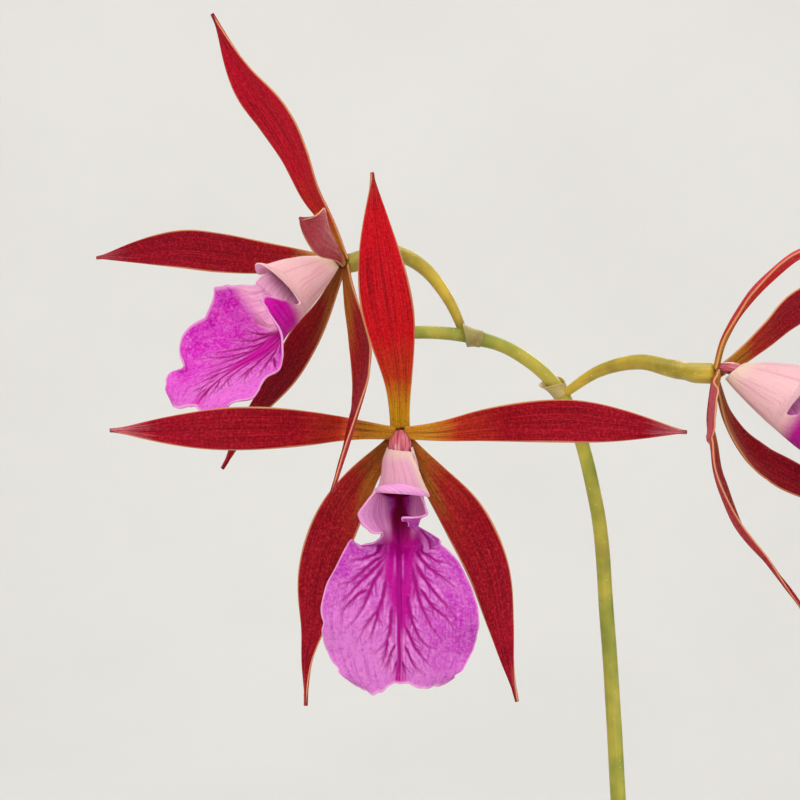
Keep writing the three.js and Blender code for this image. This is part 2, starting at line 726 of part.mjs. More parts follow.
// The flower stem rises from the lead bulb and arches over to the left above the blooms.
const STEM_ARCH = [
  [35, 31, -59.2],
  [33, 28, -30],
  [31, 25.5, -11],
  [25.6, 24, 5.7],
  [18.1, 22, 12.5],
  [10.2, 20, 15],
  [1.2, 17.4, 15.4],
  [-1.5, 16.6, 14.6],
];
const SHEATHS = { starts: [0.16, 0.34, 0.52], length: 14, proud: 0.9 };
const BRACTS = { starts: [0.885, 0.945], length: 3, proud: 0.6 };

function stemCurve() {
  const foot = vec(LEAD.x, LEAD.y, BULB_FOOT + LEAD.height + GAP);
  const low = [foot, foot.clone().add(vec(0.6, -2.5, 55)), foot.clone().add(vec(-3, -9, 118))];
  return curveThrough([...low, ...STEM_ARCH.map((p) => vec(...p).add(hubPlace))]);
}

// Short sleeves round the stem: dry sheaths low down, and bracts where the stalks leave
function sleeves(curve, { starts, length, proud }) {
  const total = curve.getLength();
  return starts.map((start) => {
    const points = [0, 0.5, 1].map((share) => curve.getPointAt(start + (share * length) / total));
    const radii = (t) => roundBar(lerp(STEM.base, STEM.tip, start) + proud * lerp(0.4, 1, t));
    return solidOf(limb(curveThrough(points), radii, STEM.sides, 2, AHEAD_VECTOR));
  });
}

// A bloom's stalk swells towards the hub, where its end is round and blunt.
function stalk({ place, face, stalk: points, stalkSide }) {
  const centre = vec(...place).add(hubPlace);
  const facing = vec(...face);
  const line = curveThrough([
    centre.clone().add(facing),
    centre.clone().sub(facing),
    ...points.map((p) => vec(...p).add(centre)),
  ]);
  const head = 0.12;
  const radii = (t) => {
    const share = t < head ? 1 : Math.pow((1 - t) / (1 - head), 0.9);
    return roundBar(lerp(STALK.root, HUB.radius, share));
  };
  return solidOf(limb(line, radii, STALK.sides, STALK.steps, vec(...stalkSide)));
}

function flowerStem() {
  const curve = stemCurve();
  const radii = (t) => roundBar(lerp(STEM.base, STEM.tip, t));
  let solid = solidOf(limb(curve, radii, STEM.sides, STEM.steps, AHEAD_VECTOR));
  const stalks = Object.values(BLOOMS).map(stalk);
  for (const part of [...sleeves(curve, SHEATHS), ...sleeves(curve, BRACTS), ...stalks]) {
    solid = solid.add(part);
  }
  return geometryOf(solid);
}

// The whole plant
piece("pot", "clay", pot());
piece("bark", "bark", bark());
piece("rhizome", "root", geometryOf(rhizome()));
BULBS.forEach((spec, i) => {
  piece(`stem_bulb_${i + 1}`, "bulb", bulb(spec));
  const top = bulbCurve(spec).getPointAt(1).add(vec(0, 0, 2 * GAP));
  const offset = spec === LEAD ? LEAF.leadApart : LEAF.apart;
  spec.leaves.forEach((values, j) => {
    piece(`leaf_${i + 1}_${j + 1}`, "leaf", leaf(top, spec.leaves.length > 1 ? offset : 0, values));
  });
});
piece("flower_stem", "stem", flowerStem());
for (const [side, bloom] of Object.entries(BLOOMS)) {
  const hub = vec(...bloom.place).add(hubPlace);
  for (const [name, spec] of Object.entries(bloom.tepals)) {
    piece(`${side}_bloom_${name}`, "tepal", tepal(spec, vec(...bloom.face)), hub);
  }
  piece(`${side}_bloom_lip`, "lip", lip(bloom.lip), hub);
  piece(`${side}_bloom_column`, "column", column(bloom.lip), hub);
}

export default plant;
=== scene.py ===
"""Dresses the potted encyvola orchid: a clay pot of bark with stem bulbs, strap leaves and a flower stem
that carries three star-shaped red blooms with broad pink lips.

Sizes are in millimetres, turned into metres where vertices are placed. The front is -Y.
"""

import logging
import math
import random
from dataclasses import dataclass, field
from enum import Enum
from typing import Callable, Sequence

import bmesh
import bpy
from mathutils import Matrix, Quaternion, Vector, noise
from mathutils.kdtree import KDTree


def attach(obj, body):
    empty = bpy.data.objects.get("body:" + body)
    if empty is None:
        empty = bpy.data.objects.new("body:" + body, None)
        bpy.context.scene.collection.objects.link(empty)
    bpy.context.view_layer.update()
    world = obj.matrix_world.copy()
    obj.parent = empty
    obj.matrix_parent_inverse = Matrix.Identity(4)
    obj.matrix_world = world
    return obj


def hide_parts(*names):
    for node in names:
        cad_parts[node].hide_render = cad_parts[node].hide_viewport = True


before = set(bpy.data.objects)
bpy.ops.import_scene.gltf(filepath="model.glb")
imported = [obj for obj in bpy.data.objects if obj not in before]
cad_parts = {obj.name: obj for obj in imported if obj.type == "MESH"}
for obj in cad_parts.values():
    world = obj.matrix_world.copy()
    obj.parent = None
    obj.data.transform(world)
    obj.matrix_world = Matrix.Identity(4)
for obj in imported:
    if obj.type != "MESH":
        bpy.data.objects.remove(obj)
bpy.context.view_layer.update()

log = logging.getLogger("orchid")

MM = 0.001
UP = Vector((0, 0, 1))
AHEAD = Vector((0, -1, 0))
LEFTWARD = Vector((-0.86, -0.51, 0))
RIGHTWARD = Vector((0.97, -0.26, 0))
HUB = Vector((-25, -45, 400))  # where the front bloom's sepals, petals and lip meet
HUB_RADIUS = 1.5
GAP = 0.3
QUARTER = math.pi / 2
GOLDEN_ANGLE = math.pi * (3 - math.sqrt(5))
WRAP_UNIT = 20  # degrees: a lip's wrap is fitted in this unit, together with its lengths

Dye = tuple[float, float, float]
Socket = bpy.types.NodeSocket
Place = Callable[[float, float], Vector]
Measure = Callable[[float, float], float]
Marks = Callable[[float, float, bool], dict[str, float]]


def lerp(low: float, high: float, share: float) -> float:
    """Returns the value at a share of the way from low to high."""
    return low + (high - low) * share


def clamp(value: float, low: float = 0.0, high: float = 1.0) -> float:
    """Returns the value kept between low and high."""
    return max(low, min(high, value))


def smoothstep(value: float, low: float, high: float) -> float:
    """Returns a soft step from 0 at low to 1 at high."""
    share = clamp((value - low) / (high - low))
    return share * share * (3 - 2 * share)


def compass(angle: float) -> Vector:
    """Returns the level direction at an angle round the upright axis."""
    return Vector((math.cos(angle), math.sin(angle), 0))


def dye(red: float, green: float, blue: float) -> Dye:
    """Turns a screen colour of 0 to 255 into a linear one.

    Args:
        red: The red part.
        green: The green part.
        blue: The blue part.

    Returns:
        The linear colour, each part from 0 to 1.
    """

    def linear(part: float) -> float:
        """Returns one part of the colour, made linear."""
        share = part / 255
        return share / 12.92 if share <= 0.04045 else ((share + 0.055) / 1.055) ** 2.4

    return (linear(red), linear(green), linear(blue))


class Midline:
    """A smooth line through points, of the same kind that the solids follow."""

    DIVISIONS = 200

    def __init__(self, points: Sequence[Sequence[float]]) -> None:
        """Fits the line.

        Args:
            points: The points that it passes through, in order.
        """
        stops = [Vector(p) for p in points]
        before = stops[0] * 2 - stops[1]
        after = stops[-1] * 2 - stops[-2]
        padded = [before, *stops, after]
        self.spans = [self._span(*padded[i : i + 4]) for i in range(len(stops) - 1)]
        self.lengths = [0.0]
        last = self.point(0)
        for i in range(1, self.DIVISIONS + 1):
            here = self.point(i / self.DIVISIONS)
            self.lengths.append(self.lengths[-1] + (here - last).length)
            last = here

    @staticmethod
    def _span(a: Vector, b: Vector, c: Vector, d: Vector) -> tuple[Vector, ...]:
        """Returns the four factors of the curve from b to c."""
        first, middle, final = (max((q - p).length ** 0.5, 1e-4) for p, q in ((a, b), (b, c), (c, d)))
        leave = ((b - a) / first - (c - a) / (first + middle) + (c - b) / middle) * middle
        arrive = ((c - b) / middle - (d - b) / (middle + final) + (d - c) / final) * middle
        return (b, leave, 3 * (c - b) - 2 * leave - arrive, 2 * (b - c) + leave + arrive)

    @property
    def length(self) -> float:
        """Returns the whole length."""
        return self.lengths[-1]

    def point(self, t: float) -> Vector:
        """Returns the point at t, counted in equal steps from point to point."""
        place = clamp(t) * len(self.spans)
        index = min(int(place), len(self.spans) - 1)
        w = place - index
        start, leave, bend, twist = self.spans[index]
        return start + (leave + (bend + twist * w) * w) * w

    def tangent(self, t: float) -> Vector:
        """Returns the direction at t, counted as point does."""
        step = 1e-4
        return (self.point(min(t + step, 1)) - self.point(max(t - step, 0))).normalized()

    def share_to_t(self, share: float) -> float:
        """Returns the t at which a share of the length is behind."""
        target = clamp(share) * self.length
        low, high = 0, self.DIVISIONS
        while high - low > 1:
            middle = (low + high) // 2
            if self.lengths[middle] <= target:
                low = middle
            else:
                high = middle
        span = self.lengths[high] - self.lengths[low]
        return (low + (target - self.lengths[low]) / max(span, 1e-9)) / self.DIVISIONS

    def point_at(self, share: float) -> Vector:
        """Returns the point at a share of the length."""
        return self.point(self.share_to_t(share))

    def tangent_at(self, share: float) -> Vector:
        """Returns the direction at a share of the length."""
        return self.tangent(self.share_to_t(share))

    def frame_at(self, share: float, facing: Vector) -> tuple[Vector, Vector, Vector]:
        """Returns a point of the line with the directions across it and out of it.

        Args:
            share: The share of the length.
            facing: The way that the strip or stem roughly faces there.

        Returns:
            The point, the direction across, and the direction that it faces.
        """
        along = self.tangent_at(share)
        normal = (facing - along * facing.dot(along)).normalized()
        return self.point_at(share), along.cross(normal), normal


class Bench:
    """Lays out the shader nodes of one finish."""

    def __init__(self, name: str, **shader: float | Dye) -> None:
        """Starts a material with one principled shader.

        Args:
            name: The material's name.
            shader: Values that are the same all over the surface, by socket name with _ for a space.
        """
        self.material = bpy.data.materials.new(name)
        self.material.use_nodes = True
        self.tree = self.material.node_tree
        self.tree.nodes.clear()
        self.shader = self.add("ShaderNodeBsdfPrincipled")
        output = self.add("ShaderNodeOutputMaterial")
        self.tree.links.new(self.shader.outputs["BSDF"], output.inputs["Surface"])
        for socket, value in shader.items():
            self.shader.inputs[socket.replace("_", " ")].default_value = value

    def add(self, kind: str, **settings: object) -> bpy.types.Node:
        """Adds a node of a kind with its settings."""
        node = self.tree.nodes.new(kind)
        for key, value in settings.items():
            setattr(node, key, value)
        return node

    def feed(self, socket: Socket, value: object) -> None:
        """Links another node's output to a socket, or sets its value."""
        if isinstance(value, Socket):
            self.tree.links.new(value, socket)
        elif isinstance(value, tuple) and socket.type == "RGBA":
            socket.default_value = (*value, 1.0)
        else:
            socket.default_value = value

    def finished(self, colour: Socket, rough: Socket, normal: Socket | None = None) -> bpy.types.Material:
        """Returns the material, with its colour, its roughness and any relief fed to the shader."""
        self.feed(self.shader.inputs["Base Color"], colour)
        self.feed(self.shader.inputs["Roughness"], rough)
        if normal is not None:
            self.feed(self.shader.inputs["Normal"], normal)
        return self.material

    def place(self) -> Socket:
        """Returns the object coordinates."""
        return self.add("ShaderNodeTexCoord").outputs["Object"]

    def blade(self) -> tuple[Socket, Socket, Socket]:
        """Returns the piece's own map, and its parts across and along."""
        uv = self.add("ShaderNodeUVMap", uv_map="blade").outputs["UV"]
        parts = self.add("ShaderNodeSeparateXYZ")
        self.feed(parts.inputs[0], uv)
        return uv, parts.outputs[0], parts.outputs[1]

    def mark(self, name: str) -> Socket:
        """Returns a mark that was painted on the mesh."""
        return self.add("ShaderNodeAttribute", attribute_name=name).outputs["Fac"]

    def sum(self, kind: str, a: object, b: object = 0.0, clamped: bool = False) -> Socket:
        """Returns a sum of two values, of the kind that a Math node calls it."""
        node = self.add("ShaderNodeMath", operation=kind, use_clamp=clamped)
        self.feed(node.inputs[0], a)
        self.feed(node.inputs[1], b)
        return node.outputs[0]

    def times(self, a: object, b: object) -> Socket:
        """Returns a times b."""
        return self.sum("MULTIPLY", a, b)

    def step(self, value: object, low: float, high: float, start: float = 0, end: float = 1) -> Socket:
        """Returns a soft step of a value, from start at low to end at high."""
        node = self.add("ShaderNodeMapRange", interpolation_type="SMOOTHSTEP")
        for index, entry in enumerate((value, low, high, start, end)):
            self.feed(node.inputs[index], entry)
        return node.outputs[0]

    def mix(self, share: object, a: object, b: object) -> Socket:
        """Returns colour b laid on colour a by a share."""
        node = self.add("ShaderNodeMix", data_type="RGBA")
        self.feed(node.inputs[0], share)
        self.feed(node.inputs[6], a)
        self.feed(node.inputs[7], b)
        return node.outputs[2]

    def tinge(
        self, under: object, value: Socket, low: float, high: float, over: Dye, most: float = 1
    ) -> Socket:
        """Returns a colour with another laid on it where a value is high.

        Args:
            under: The colour that it starts from.
            value: The value that decides.
            low: The value at which none of the other colour shows.
            high: The value from which the most of it shows.
            over: The other colour.
            most: The largest share of it.

        Returns:
            The colour socket.
        """
        return self.mix(self.step(value, low, high, 0, most), under, over)

    def fray(self, value: object, clouds: Socket, by: float) -> Socket:
        """Returns a value that wanders with cloudy noise, by up to half of an amount either way."""
        return self.sum("ADD", value, self.times(self.sum("SUBTRACT", clouds, 0.5), by))

    def aside(self, over: Socket) -> Socket:
        """Returns how far off the middle of a blade a point lies: 0 there and 0.5 at its edge."""
        return self.sum("ABSOLUTE", self.sum("SUBTRACT", over, 0.5))

    def ramp(self, value: object, stops: Sequence[tuple[float, Dye]]) -> Socket:
        """Returns a colour that runs through stops as a value rises.

        Args:
            value: The value, from 0 to 1.
            stops: Pairs of the value and its colour.

        Returns:
            The colour socket.
        """
        node = self.add("ShaderNodeValToRGB")
        elements = node.color_ramp.elements
        while len(elements) < len(stops):
            elements.new(0.5)
        for element, (at, colour) in zip(elements, stops):
            element.position = at
            element.color = (*colour, 1.0)
        self.feed(node.inputs[0], value)
        return node.outputs[0]

    def stretch(self, vector: Socket, scale: Sequence[float]) -> Socket:
        """Returns a vector stretched along its three parts."""
        node = self.add("ShaderNodeMapping")
        self.feed(node.inputs["Vector"], vector)
        node.inputs["Scale"].default_value = scale
        return node.outputs[0]

    def grain(
        self, vector: Socket, scale: float, detail: float = 2, rough: float = 0.5, swirl: float = 0
    ) -> Socket:
        """Returns cloudy noise.

        Args:
            vector: Where it is read.
            scale: How many clouds fit in one unit.
            detail: How many finer layers it has.
            rough: How strong the finer layers are.
            swirl: How much it is twisted.

        Returns:
            The noise, from 0 to 1.
        """
        node = self.add("ShaderNodeTexNoise")
        values = {"Vector": vector, "Scale": scale, "Detail": detail, "Roughness": rough, "Distortion": swirl}
        for name, value in values.items():
            self.feed(node.inputs[name], value)
        return node.outputs[0]

    def fibres(self, uv: Socket, across: float, along: float, detail: float, rough: float) -> Socket:
        """Returns noise drawn out along a blade, so many clouds across it and along it."""
        return self.grain(self.stretch(uv, (across, along, 1)), 1.0, detail, rough)

    def cells(self, vector: Socket, scale: float) -> Socket:
        """Returns the distance to the middle of the nearest cell in a pattern of cells."""
        node = self.add("ShaderNodeTexVoronoi")
        self.feed(node.inputs["Vector"], vector)
        self.feed(node.inputs["Scale"], scale)
        return node.outputs[0]

    def relief(self, height: Socket, deep: float, strength: float = 1, under: Socket | None = None) -> Socket:
        """Returns a surface normal that is raised by a height.

        Args:
            height: The height, from 0 to 1.
            deep: How deep the relief is, in metres.
            strength: How much of it shows.
            under: A coarser relief that it lies on.

        Returns:
            The normal socket.
        """
        node = self.add("ShaderNodeBump")
        self.feed(node.inputs["Height"], height)
        node.inputs["Distance"].default_value = deep
        node.inputs["Strength"].default_value = strength
        if under is not None:
            self.feed(node.inputs["Normal"], under)
        return node.outputs[0]


def put_in_scene(
    bm: bmesh.types.BMesh, name: str, material: bpy.types.Material, smooth: bool = True
) -> bpy.types.Object:
    """Makes an object of a finished mesh.

    Args:
        bm: The mesh, in metres, which is freed.
        name: The object's name.
        material: Its finish.
        smooth: Whether its faces are shaded as one surface.

    Returns:
        The object.
    """
    for face in bm.faces:
        face.smooth = smooth
    mesh = bpy.data.meshes.new(name)
    bm.to_mesh(mesh)
    bm.free()
    mesh.materials.append(material)
    thing = bpy.data.objects.new(name, mesh)
    bpy.context.scene.collection.objects.link(thing)
    return thing


def hand_over(
    bm: bmesh.types.BMesh,
    name: str,
    material: bpy.types.Material,
    stands_for: Sequence[str] = (),
    smooth: bool = True,
) -> None:
    """Makes a finished mesh a piece of the plant.

    Args:
        bm: The mesh, in metres, which is freed.
        name: The piece's name.
        material: Its finish.
        stands_for: The frame's nodes that it is shown for.
        smooth: Whether its faces are shaded as one surface.
    """
    piece = put_in_scene(bm, name, material, smooth)
    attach(piece, "root")
    if stands_for:
        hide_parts(*stands_for)
    log.info("%s: %d faces", name, len(piece.data.polygons))


@dataclass
class Weave:
    """A grid that is shaped by a rule into a thin blade or a tube."""

    across: int
    along: int
    place: Place

    def _grid(self) -> tuple[bmesh.types.BMesh, object, object]:
        """Returns the shaped grid, with the layers that keep its places across and along."""
        bm = bmesh.new()
        bmesh.ops.create_grid(bm, x_segments=self.across, y_segments=self.along, size=0.5)
        over = bm.verts.layers.float.new("over")
        down = bm.verts.layers.float.new("down")
        for vert in bm.verts:
            vert[over] = 2 * vert.co.x
            vert[down] = vert.co.y + 0.5
        for vert in bm.verts:
            vert.co = self.place(vert[over], vert[down]) * MM
        return bm, over, down

    @staticmethod
    def _unwrap(bm: bmesh.types.BMesh, over: object, down: object) -> None:
        """Gives every corner its place on the blade's own map."""
        uv = bm.loops.layers.uv.new("blade")
        for face in bm.faces:
            for loop in face.loops:
                loop[uv].uv = ((loop.vert[over] + 1) / 2, loop.vert[down])

    def blade(self, thick: Measure, marks: Marks | None = None) -> bmesh.types.BMesh:
        """Makes a thin closed blade on both sides of the grid.

        Args:
            thick: The thickness in mm, across from -1 to 1 and along from 0 to 1.
            marks: Values that are painted on the vertices, for the upper side or the under side.

        Returns:
            The mesh.
        """
        bm, over, down = self._grid()
        bm.normal_update()
        normals = {vert.index: vert.normal.copy() for vert in bm.verts}
        order = bm.verts.layers.int.new("order")
        side = bm.verts.layers.float.new("upper")
        for vert in bm.verts:
            vert[order] = vert.index
            vert[side] = 1.0
        grown = bmesh.ops.extrude_face_region(bm, geom=bm.faces[:], use_keep_orig=True)
        for item in grown["geom"]:
            if isinstance(item, bmesh.types.BMVert):
                item[side] = 0.0
        for vert in bm.verts:
            half = thick(vert[over], vert[down]) / 2 * MM
            vert.co += normals[vert[order]] * (half if vert[side] else -half)
        self._unwrap(bm, over, down)
        if marks:
            names = list(marks(0.0, 0.0, True))
            for name in names:
                bm.verts.layers.float.new(name)
            layers = {name: bm.verts.layers.float[name] for name in names}
            over, down, side = (bm.verts.layers.float[name] for name in ("over", "down", "upper"))
            for vert in bm.verts:
                for name, value in marks(vert[over], vert[down], vert[side] > 0.5).items():
                    vert[layers[name]] = value
        bmesh.ops.recalc_face_normals(bm, faces=bm.faces[:])
        return bm

    def tube(self) -> bmesh.types.BMesh:
        """Makes a closed tube, whose seam is at -1 and 1 across, with its ends filled."""
        bm, over, down = self._grid()
        self._unwrap(bm, over, down)
        bmesh.ops.remove_doubles(bm, verts=bm.verts[:], dist=1e-7)
        ends = [edge for edge in bm.edges if edge.is_boundary]
        bmesh.ops.holes_fill(bm, edges=ends, sides=0)
        bmesh.ops.recalc_face_normals(bm, faces=bm.faces[:])
        return bm


def limb(line: Midline, radii: Measure, sides: int, rings: int, facing: Vector) -> bmesh.types.BMesh:
    """Makes a closed round limb along a line, with its rings closer together at its ends.

    Args:
        line: The midline.
        radii: The radius in mm, at a share of the length and an angle round it.
        sides: The number of sides.
        rings: The number of rings.
        facing: The way that its seam's opposite faces.

    Returns:
        The mesh.
    """
    frames: dict[float, tuple[float, Vector, Vector, Vector]] = {}

    def place(u: float, v: float) -> Vector:
        """Returns a point of the limb's skin."""
        if v not in frames:
            share = (1 - math.cos(math.pi * v)) / 2
            frames[v] = (share, *line.frame_at(share, facing))
        share, at, across, normal = frames[v]
        angle = math.pi * u
        reach = radii(share, angle)
        return at + (across * math.sin(angle) + normal * math.cos(angle)) * reach

    return Weave(sides, rings, place).tube()


def rounded(share: float, length: float, start: float, end: float) -> float:
    """Returns how much of a limb's radius is left where its ends are rounded.

    Args:
        share: The share of its length.
        length: Its length.
        start: The length over which its start is rounded, or 0.
        end: The length over which its end is rounded, or 0.

    Returns:
        A factor from nearly 0 to 1.
    """
    factor = 1.0
    for distance, reach in ((share * length, start), ((1 - share) * length, end)):
        if reach and distance < reach:
            factor *= math.sqrt(max(1 - (1 - distance / reach) ** 2, 0.0))
    return max(factor, 0.02)


# Finishes


class Tone(Enum):
    """The tints of a sepal or petal: root, neck, middle, far third, tip, and the under side."""

    DORSAL = ((192, 146, 12), (182, 58, 12), (196, 10, 18), (204, 10, 26), (180, 50, 46), (206, 52, 60))
    PETAL = ((204, 148, 34), (178, 48, 22), (140, 2, 18), (146, 4, 30), (206, 112, 122), (176, 62, 74))
    SEPAL = ((156, 98, 26), (142, 30, 18), (128, 2, 18), (142, 6, 30), (176, 76, 80), (176, 56, 64))
    SIDE_DORSAL = ((192, 124, 30), (186, 40, 26), (188, 8, 32), (182, 8, 38), (150, 40, 54), (206, 52, 60))
    SIDE_BLADE = ((196, 156, 84), (150, 20, 24), (134, 2, 22), (138, 3, 30), (170, 72, 84), (176, 62, 74))


@dataclass(frozen=True)
class TepalFinish:
    """Velvety red with fine lengthwise lines, golden at the root and pale along its thin edge."""

    tone: Tone
    golden: int = 0  # the half that stays golden further out: 1 or -1, or 0 for neither
    edge: Dye = dye(206, 148, 104)
    line: Dye = dye(88, 0, 14)
    glow: Dye = dye(218, 46, 60)

    def material(self) -> bpy.types.Material:
        """Returns the finish as a material."""
        bench = Bench(
            f"tepal {self.tone.name.lower()}",
            Subsurface_Weight=0.1,
            Subsurface_Radius=(1.0, 0.25, 0.15),
            Subsurface_Scale=0.0005,
            Specular_IOR_Level=0.08,
        )
        root, neck, middle, far, tip, under = (dye(*tint) for tint in self.tone.value)
        uv, over, down = bench.blade()
        stops = [(0.0, root), (0.08, root), (0.2, neck), (0.36, middle)]
        stops += [(0.74, far), (0.86, far), (0.98, tip), (1.0, tip)]
        wander = bench.grain(bench.stretch(uv, (3, 2, 1)), 2.0, 2)
        reach = bench.fray(down, wander, 0.12)
        if self.golden:
            half = bench.step(over, 0.5 - 0.15 * self.golden, 0.5 + 0.4 * self.golden, 0, 0.13)
            reach = bench.sum("SUBTRACT", reach, half, clamped=True)
        upper = bench.ramp(reach, stops)
        lower = bench.ramp(reach, [(0.0, root), (0.1, neck), (0.3, under), (1.0, under)])
        colour = bench.mix(bench.mark("upper"), lower, upper)
        lines = bench.fibres(uv, 46, 2.6, 3, 0.55)
        colour = bench.tinge(colour, lines, 0.48, 0.66, self.line, 0.6)
        colour = bench.tinge(colour, lines, 0.48, 0.32, self.glow, 0.26)
        specks = bench.grain(bench.place(), 2700, 3, 0.8)
        colour = bench.tinge(colour, specks, 0.47, 0.72, self.glow, 0.46)
        colour = bench.tinge(colour, specks, 0.52, 0.3, self.line, 0.5)
        aside = bench.aside(over)
        rim = bench.step(aside, 0.462, 0.494, 0, 0.8)
        colour = bench.mix(rim, colour, self.edge)
        groove = bench.step(aside, 0.035, 0.0, 0, 0.35)
        colour = bench.mix(groove, colour, self.line)
        rough = bench.step(specks, 0.3, 0.7, 0.75, 0.5)
        ribs = bench.relief(lines, 0.00022, 0.8)
        skin = bench.relief(bench.cells(bench.place(), 5200), 0.00003, 0.5, ribs)
        return bench.finished(colour, rough, skin)


@dataclass(frozen=True)
class LipFinish:
    """Orchid pink with magenta veins that branch, a crimson throat and a pale rolled tube; painted highlights
    lie beside the veins and painted light on the shaded side lobes.
    """

    name: str = "lip"
    ground: Dye = dye(178, 50, 166)
    pale: Dye = dye(206, 122, 194)
    deep: Dye = dye(150, 12, 144)
    vein: Dye = dye(150, 0, 116)
    # ridge: painted highlight, the pale colour laid on the swollen skin beside the veins
    ridge: Dye = dye(228, 152, 214)
    flush: Dye = dye(170, 0, 130)
    # fold: painted light, the pale colour that lifts the rolled side lobes where they lie in shade
    fold: Dye = dye(250, 176, 230)
    throat: Dye = dye(112, 0, 44)
    tube: Dye = dye(208, 152, 174)
    tube_line: Dye = dye(180, 92, 142)
    cream: Dye = dye(216, 188, 170)
    margin: Dye = dye(222, 166, 204)

    def material(self) -> bpy.types.Material:
        """Returns the finish as a material."""
        bench = Bench(
            self.name,
            Subsurface_Weight=0.2,
            Subsurface_Radius=(1.0, 0.45, 0.8),
            Subsurface_Scale=0.0004,
            Specular_IOR_Level=0.08,
        )
        uv, _, _ = bench.blade()
        spot = bench.place()
        patches = bench.grain(spot, 420, 3, 0.6)
        tint = bench.tinge(self.ground, patches, 0.36, 0.64, self.pale)
        washed = bench.times(bench.mark("wash"), 0.8)
        colour = bench.mix(washed, bench.mix(0.35, self.ground, tint), self.pale)
        fan = bench.fibres(uv, 60, 7, 3, 0.6)
        colour = bench.tinge(colour, fan, 0.5, 0.66, self.deep, 0.4)
        colour = bench.tinge(colour, fan, 0.48, 0.32, self.pale, 0.3)
        specks = bench.grain(spot, 2100, 4, 0.75)
        colour = bench.tinge(colour, specks, 0.48, 0.7, self.pale, 0.8)
        colour = bench.tinge(colour, specks, 0.5, 0.3, self.deep, 0.6)
        # painted highlight: a pale colour laid where the skin swells beside the veins, standing in for the
        # light that the ridges catch
        colour = bench.mix(bench.times(bench.mark("ridge"), 0.6), colour, self.ridge)
        frayed = bench.fray(1.15, specks, 1.6)
        flushed = bench.times(bench.mark("flush"), frayed)
        colour = bench.mix(bench.sum("MINIMUM", flushed, 1.0), colour, self.flush)
        veined = bench.times(bench.mark("vein"), bench.sum("ADD", 0.9, bench.times(specks, 0.5)))
        colour = bench.mix(bench.sum("MINIMUM", veined, 1.0), colour, self.vein)
        colour = bench.mix(bench.mark("throat"), colour, self.throat)
        stripes = bench.fibres(uv, 52, 4, 2, 0.5)
        shell = bench.tinge(self.tube, stripes, 0.48, 0.66, self.tube_line, 0.36)
        shell = bench.tinge(shell, specks, 0.56, 0.7, self.tube_line, 0.25)
        shell = bench.mix(bench.mark("cream"), shell, self.cream)
        colour = bench.mix(bench.mark("tube"), colour, shell)
        # painted light: the fold mark paints the shaded insides of the rolled side lobes pale
        fold = bench.tinge(self.fold, stripes, 0.4, 0.7, self.ground, 0.4)
        colour = bench.mix(bench.mark("fold"), colour, fold)
        colour = bench.mix(bench.mark("margin"), colour, self.margin)
        rough = bench.step(specks, 0.3, 0.7, 0.62, 0.42)
        folds = bench.relief(fan, 0.0002, 0.7)
        raised = bench.relief(bench.mark("ridge"), 0.0002, 0.6, folds)
        sunk = bench.relief(bench.sum("SUBTRACT", 1.0, bench.mark("vein")), 0.00016, 0.6, raised)
        skin = bench.relief(bench.cells(spot, 2600), 0.00008, 0.7, sunk)
        return bench.finished(colour, rough, skin)


@dataclass(frozen=True)
class ColumnFinish:
    """Waxy pink, crimson lines, and a pale cap."""

    pink: Dye = dye(196, 98, 112)
    line: Dye = dye(132, 6, 40)
    cap: Dye = dye(240, 214, 176)

    def material(self) -> bpy.types.Material:
        """Returns the finish as a material."""
        bench = Bench(
            "column", Coat_Weight=0.15, Coat_Roughness=0.25, Subsurface_Weight=0.1, Subsurface_Scale=0.0005
        )
        uv, _, down = bench.blade()
        lines = bench.fibres(uv, 22, 3, 3, 0.6)
        colour = bench.tinge(self.pink, lines, 0.46, 0.6, self.line, 0.85)
        colour = bench.tinge(colour, down, 0.84, 0.9, self.cap)
        normal = bench.relief(lines, 0.0001, 0.6)
        rough = bench.step(bench.grain(bench.place(), 2200, 2), 0.3, 0.7, 0.5, 0.34)
        return bench.finished(colour, rough, normal)


@dataclass(frozen=True)
class StemFinish:
    """Smooth yellow-green with fine lines and a brown flush in places."""

    name: str = "stem"
    young: Dye = dye(186, 172, 62)
    green: Dye = dye(128, 138, 44)
    brown: Dye = dye(120, 70, 34)
    dot: Dye = dye(226, 214, 140)
    flushed: float = 0.35

    def material(self) -> bpy.types.Material:
        """Returns the finish as a material."""
        bench = Bench(self.name, Subsurface_Weight=0.08, Subsurface_Scale=0.0006, Specular_IOR_Level=0.4)
        uv, _, _ = bench.blade()
        spot = bench.place()
        clouds = bench.grain(spot, 90, 3, 0.6)
        colour = bench.tinge(self.green, clouds, 0.35, 0.65, self.young)
        blush = bench.grain(spot, 140, 3, 0.6, 0.6)
        colour = bench.tinge(colour, blush, 0.52, 0.75, self.brown, self.flushed)
        lines = bench.fibres(uv, 14, 20, 3, 0.6)
        colour = bench.tinge(colour, lines, 0.5, 0.7, self.green, 0.3)
        dots = bench.cells(spot, 900)
        colour = bench.tinge(colour, dots, 0.16, 0.06, self.dot, 0.4)
        rough = bench.step(clouds, 0.3, 0.7, 0.55, 0.4)
        return bench.finished(colour, rough, bench.relief(lines, 0.00012, 0.6))


@dataclass(frozen=True)
class PaperFinish:
    """A dry sheath: tan and fibrous, and torn thin at its edge."""

    light: Dye = dye(214, 192, 148)
    dark: Dye = dye(140, 104, 66)
    bleached: Dye = dye(226, 210, 176)

    def material(self) -> bpy.types.Material:
        """Returns the finish as a material."""
        bench = Bench("dry sheath", Specular_IOR_Level=0.2)
        uv, _, down = bench.blade()
        fibres = bench.fibres(uv, 44, 2.5, 4, 0.65)
        colour = bench.tinge(self.dark, fibres, 0.36, 0.66, self.light)
        stains = bench.grain(bench.place(), 130, 3, 0.6)
        colour = bench.tinge(colour, stains, 0.55, 0.75, self.dark, 0.6)
        colour = bench.tinge(colour, down, 0.8, 1.0, self.bleached, 0.5)
        rough = bench.step(fibres, 0.3, 0.7, 0.9, 0.7)
        return bench.finished(colour, rough, bench.relief(fibres, 0.0003, 0.8))


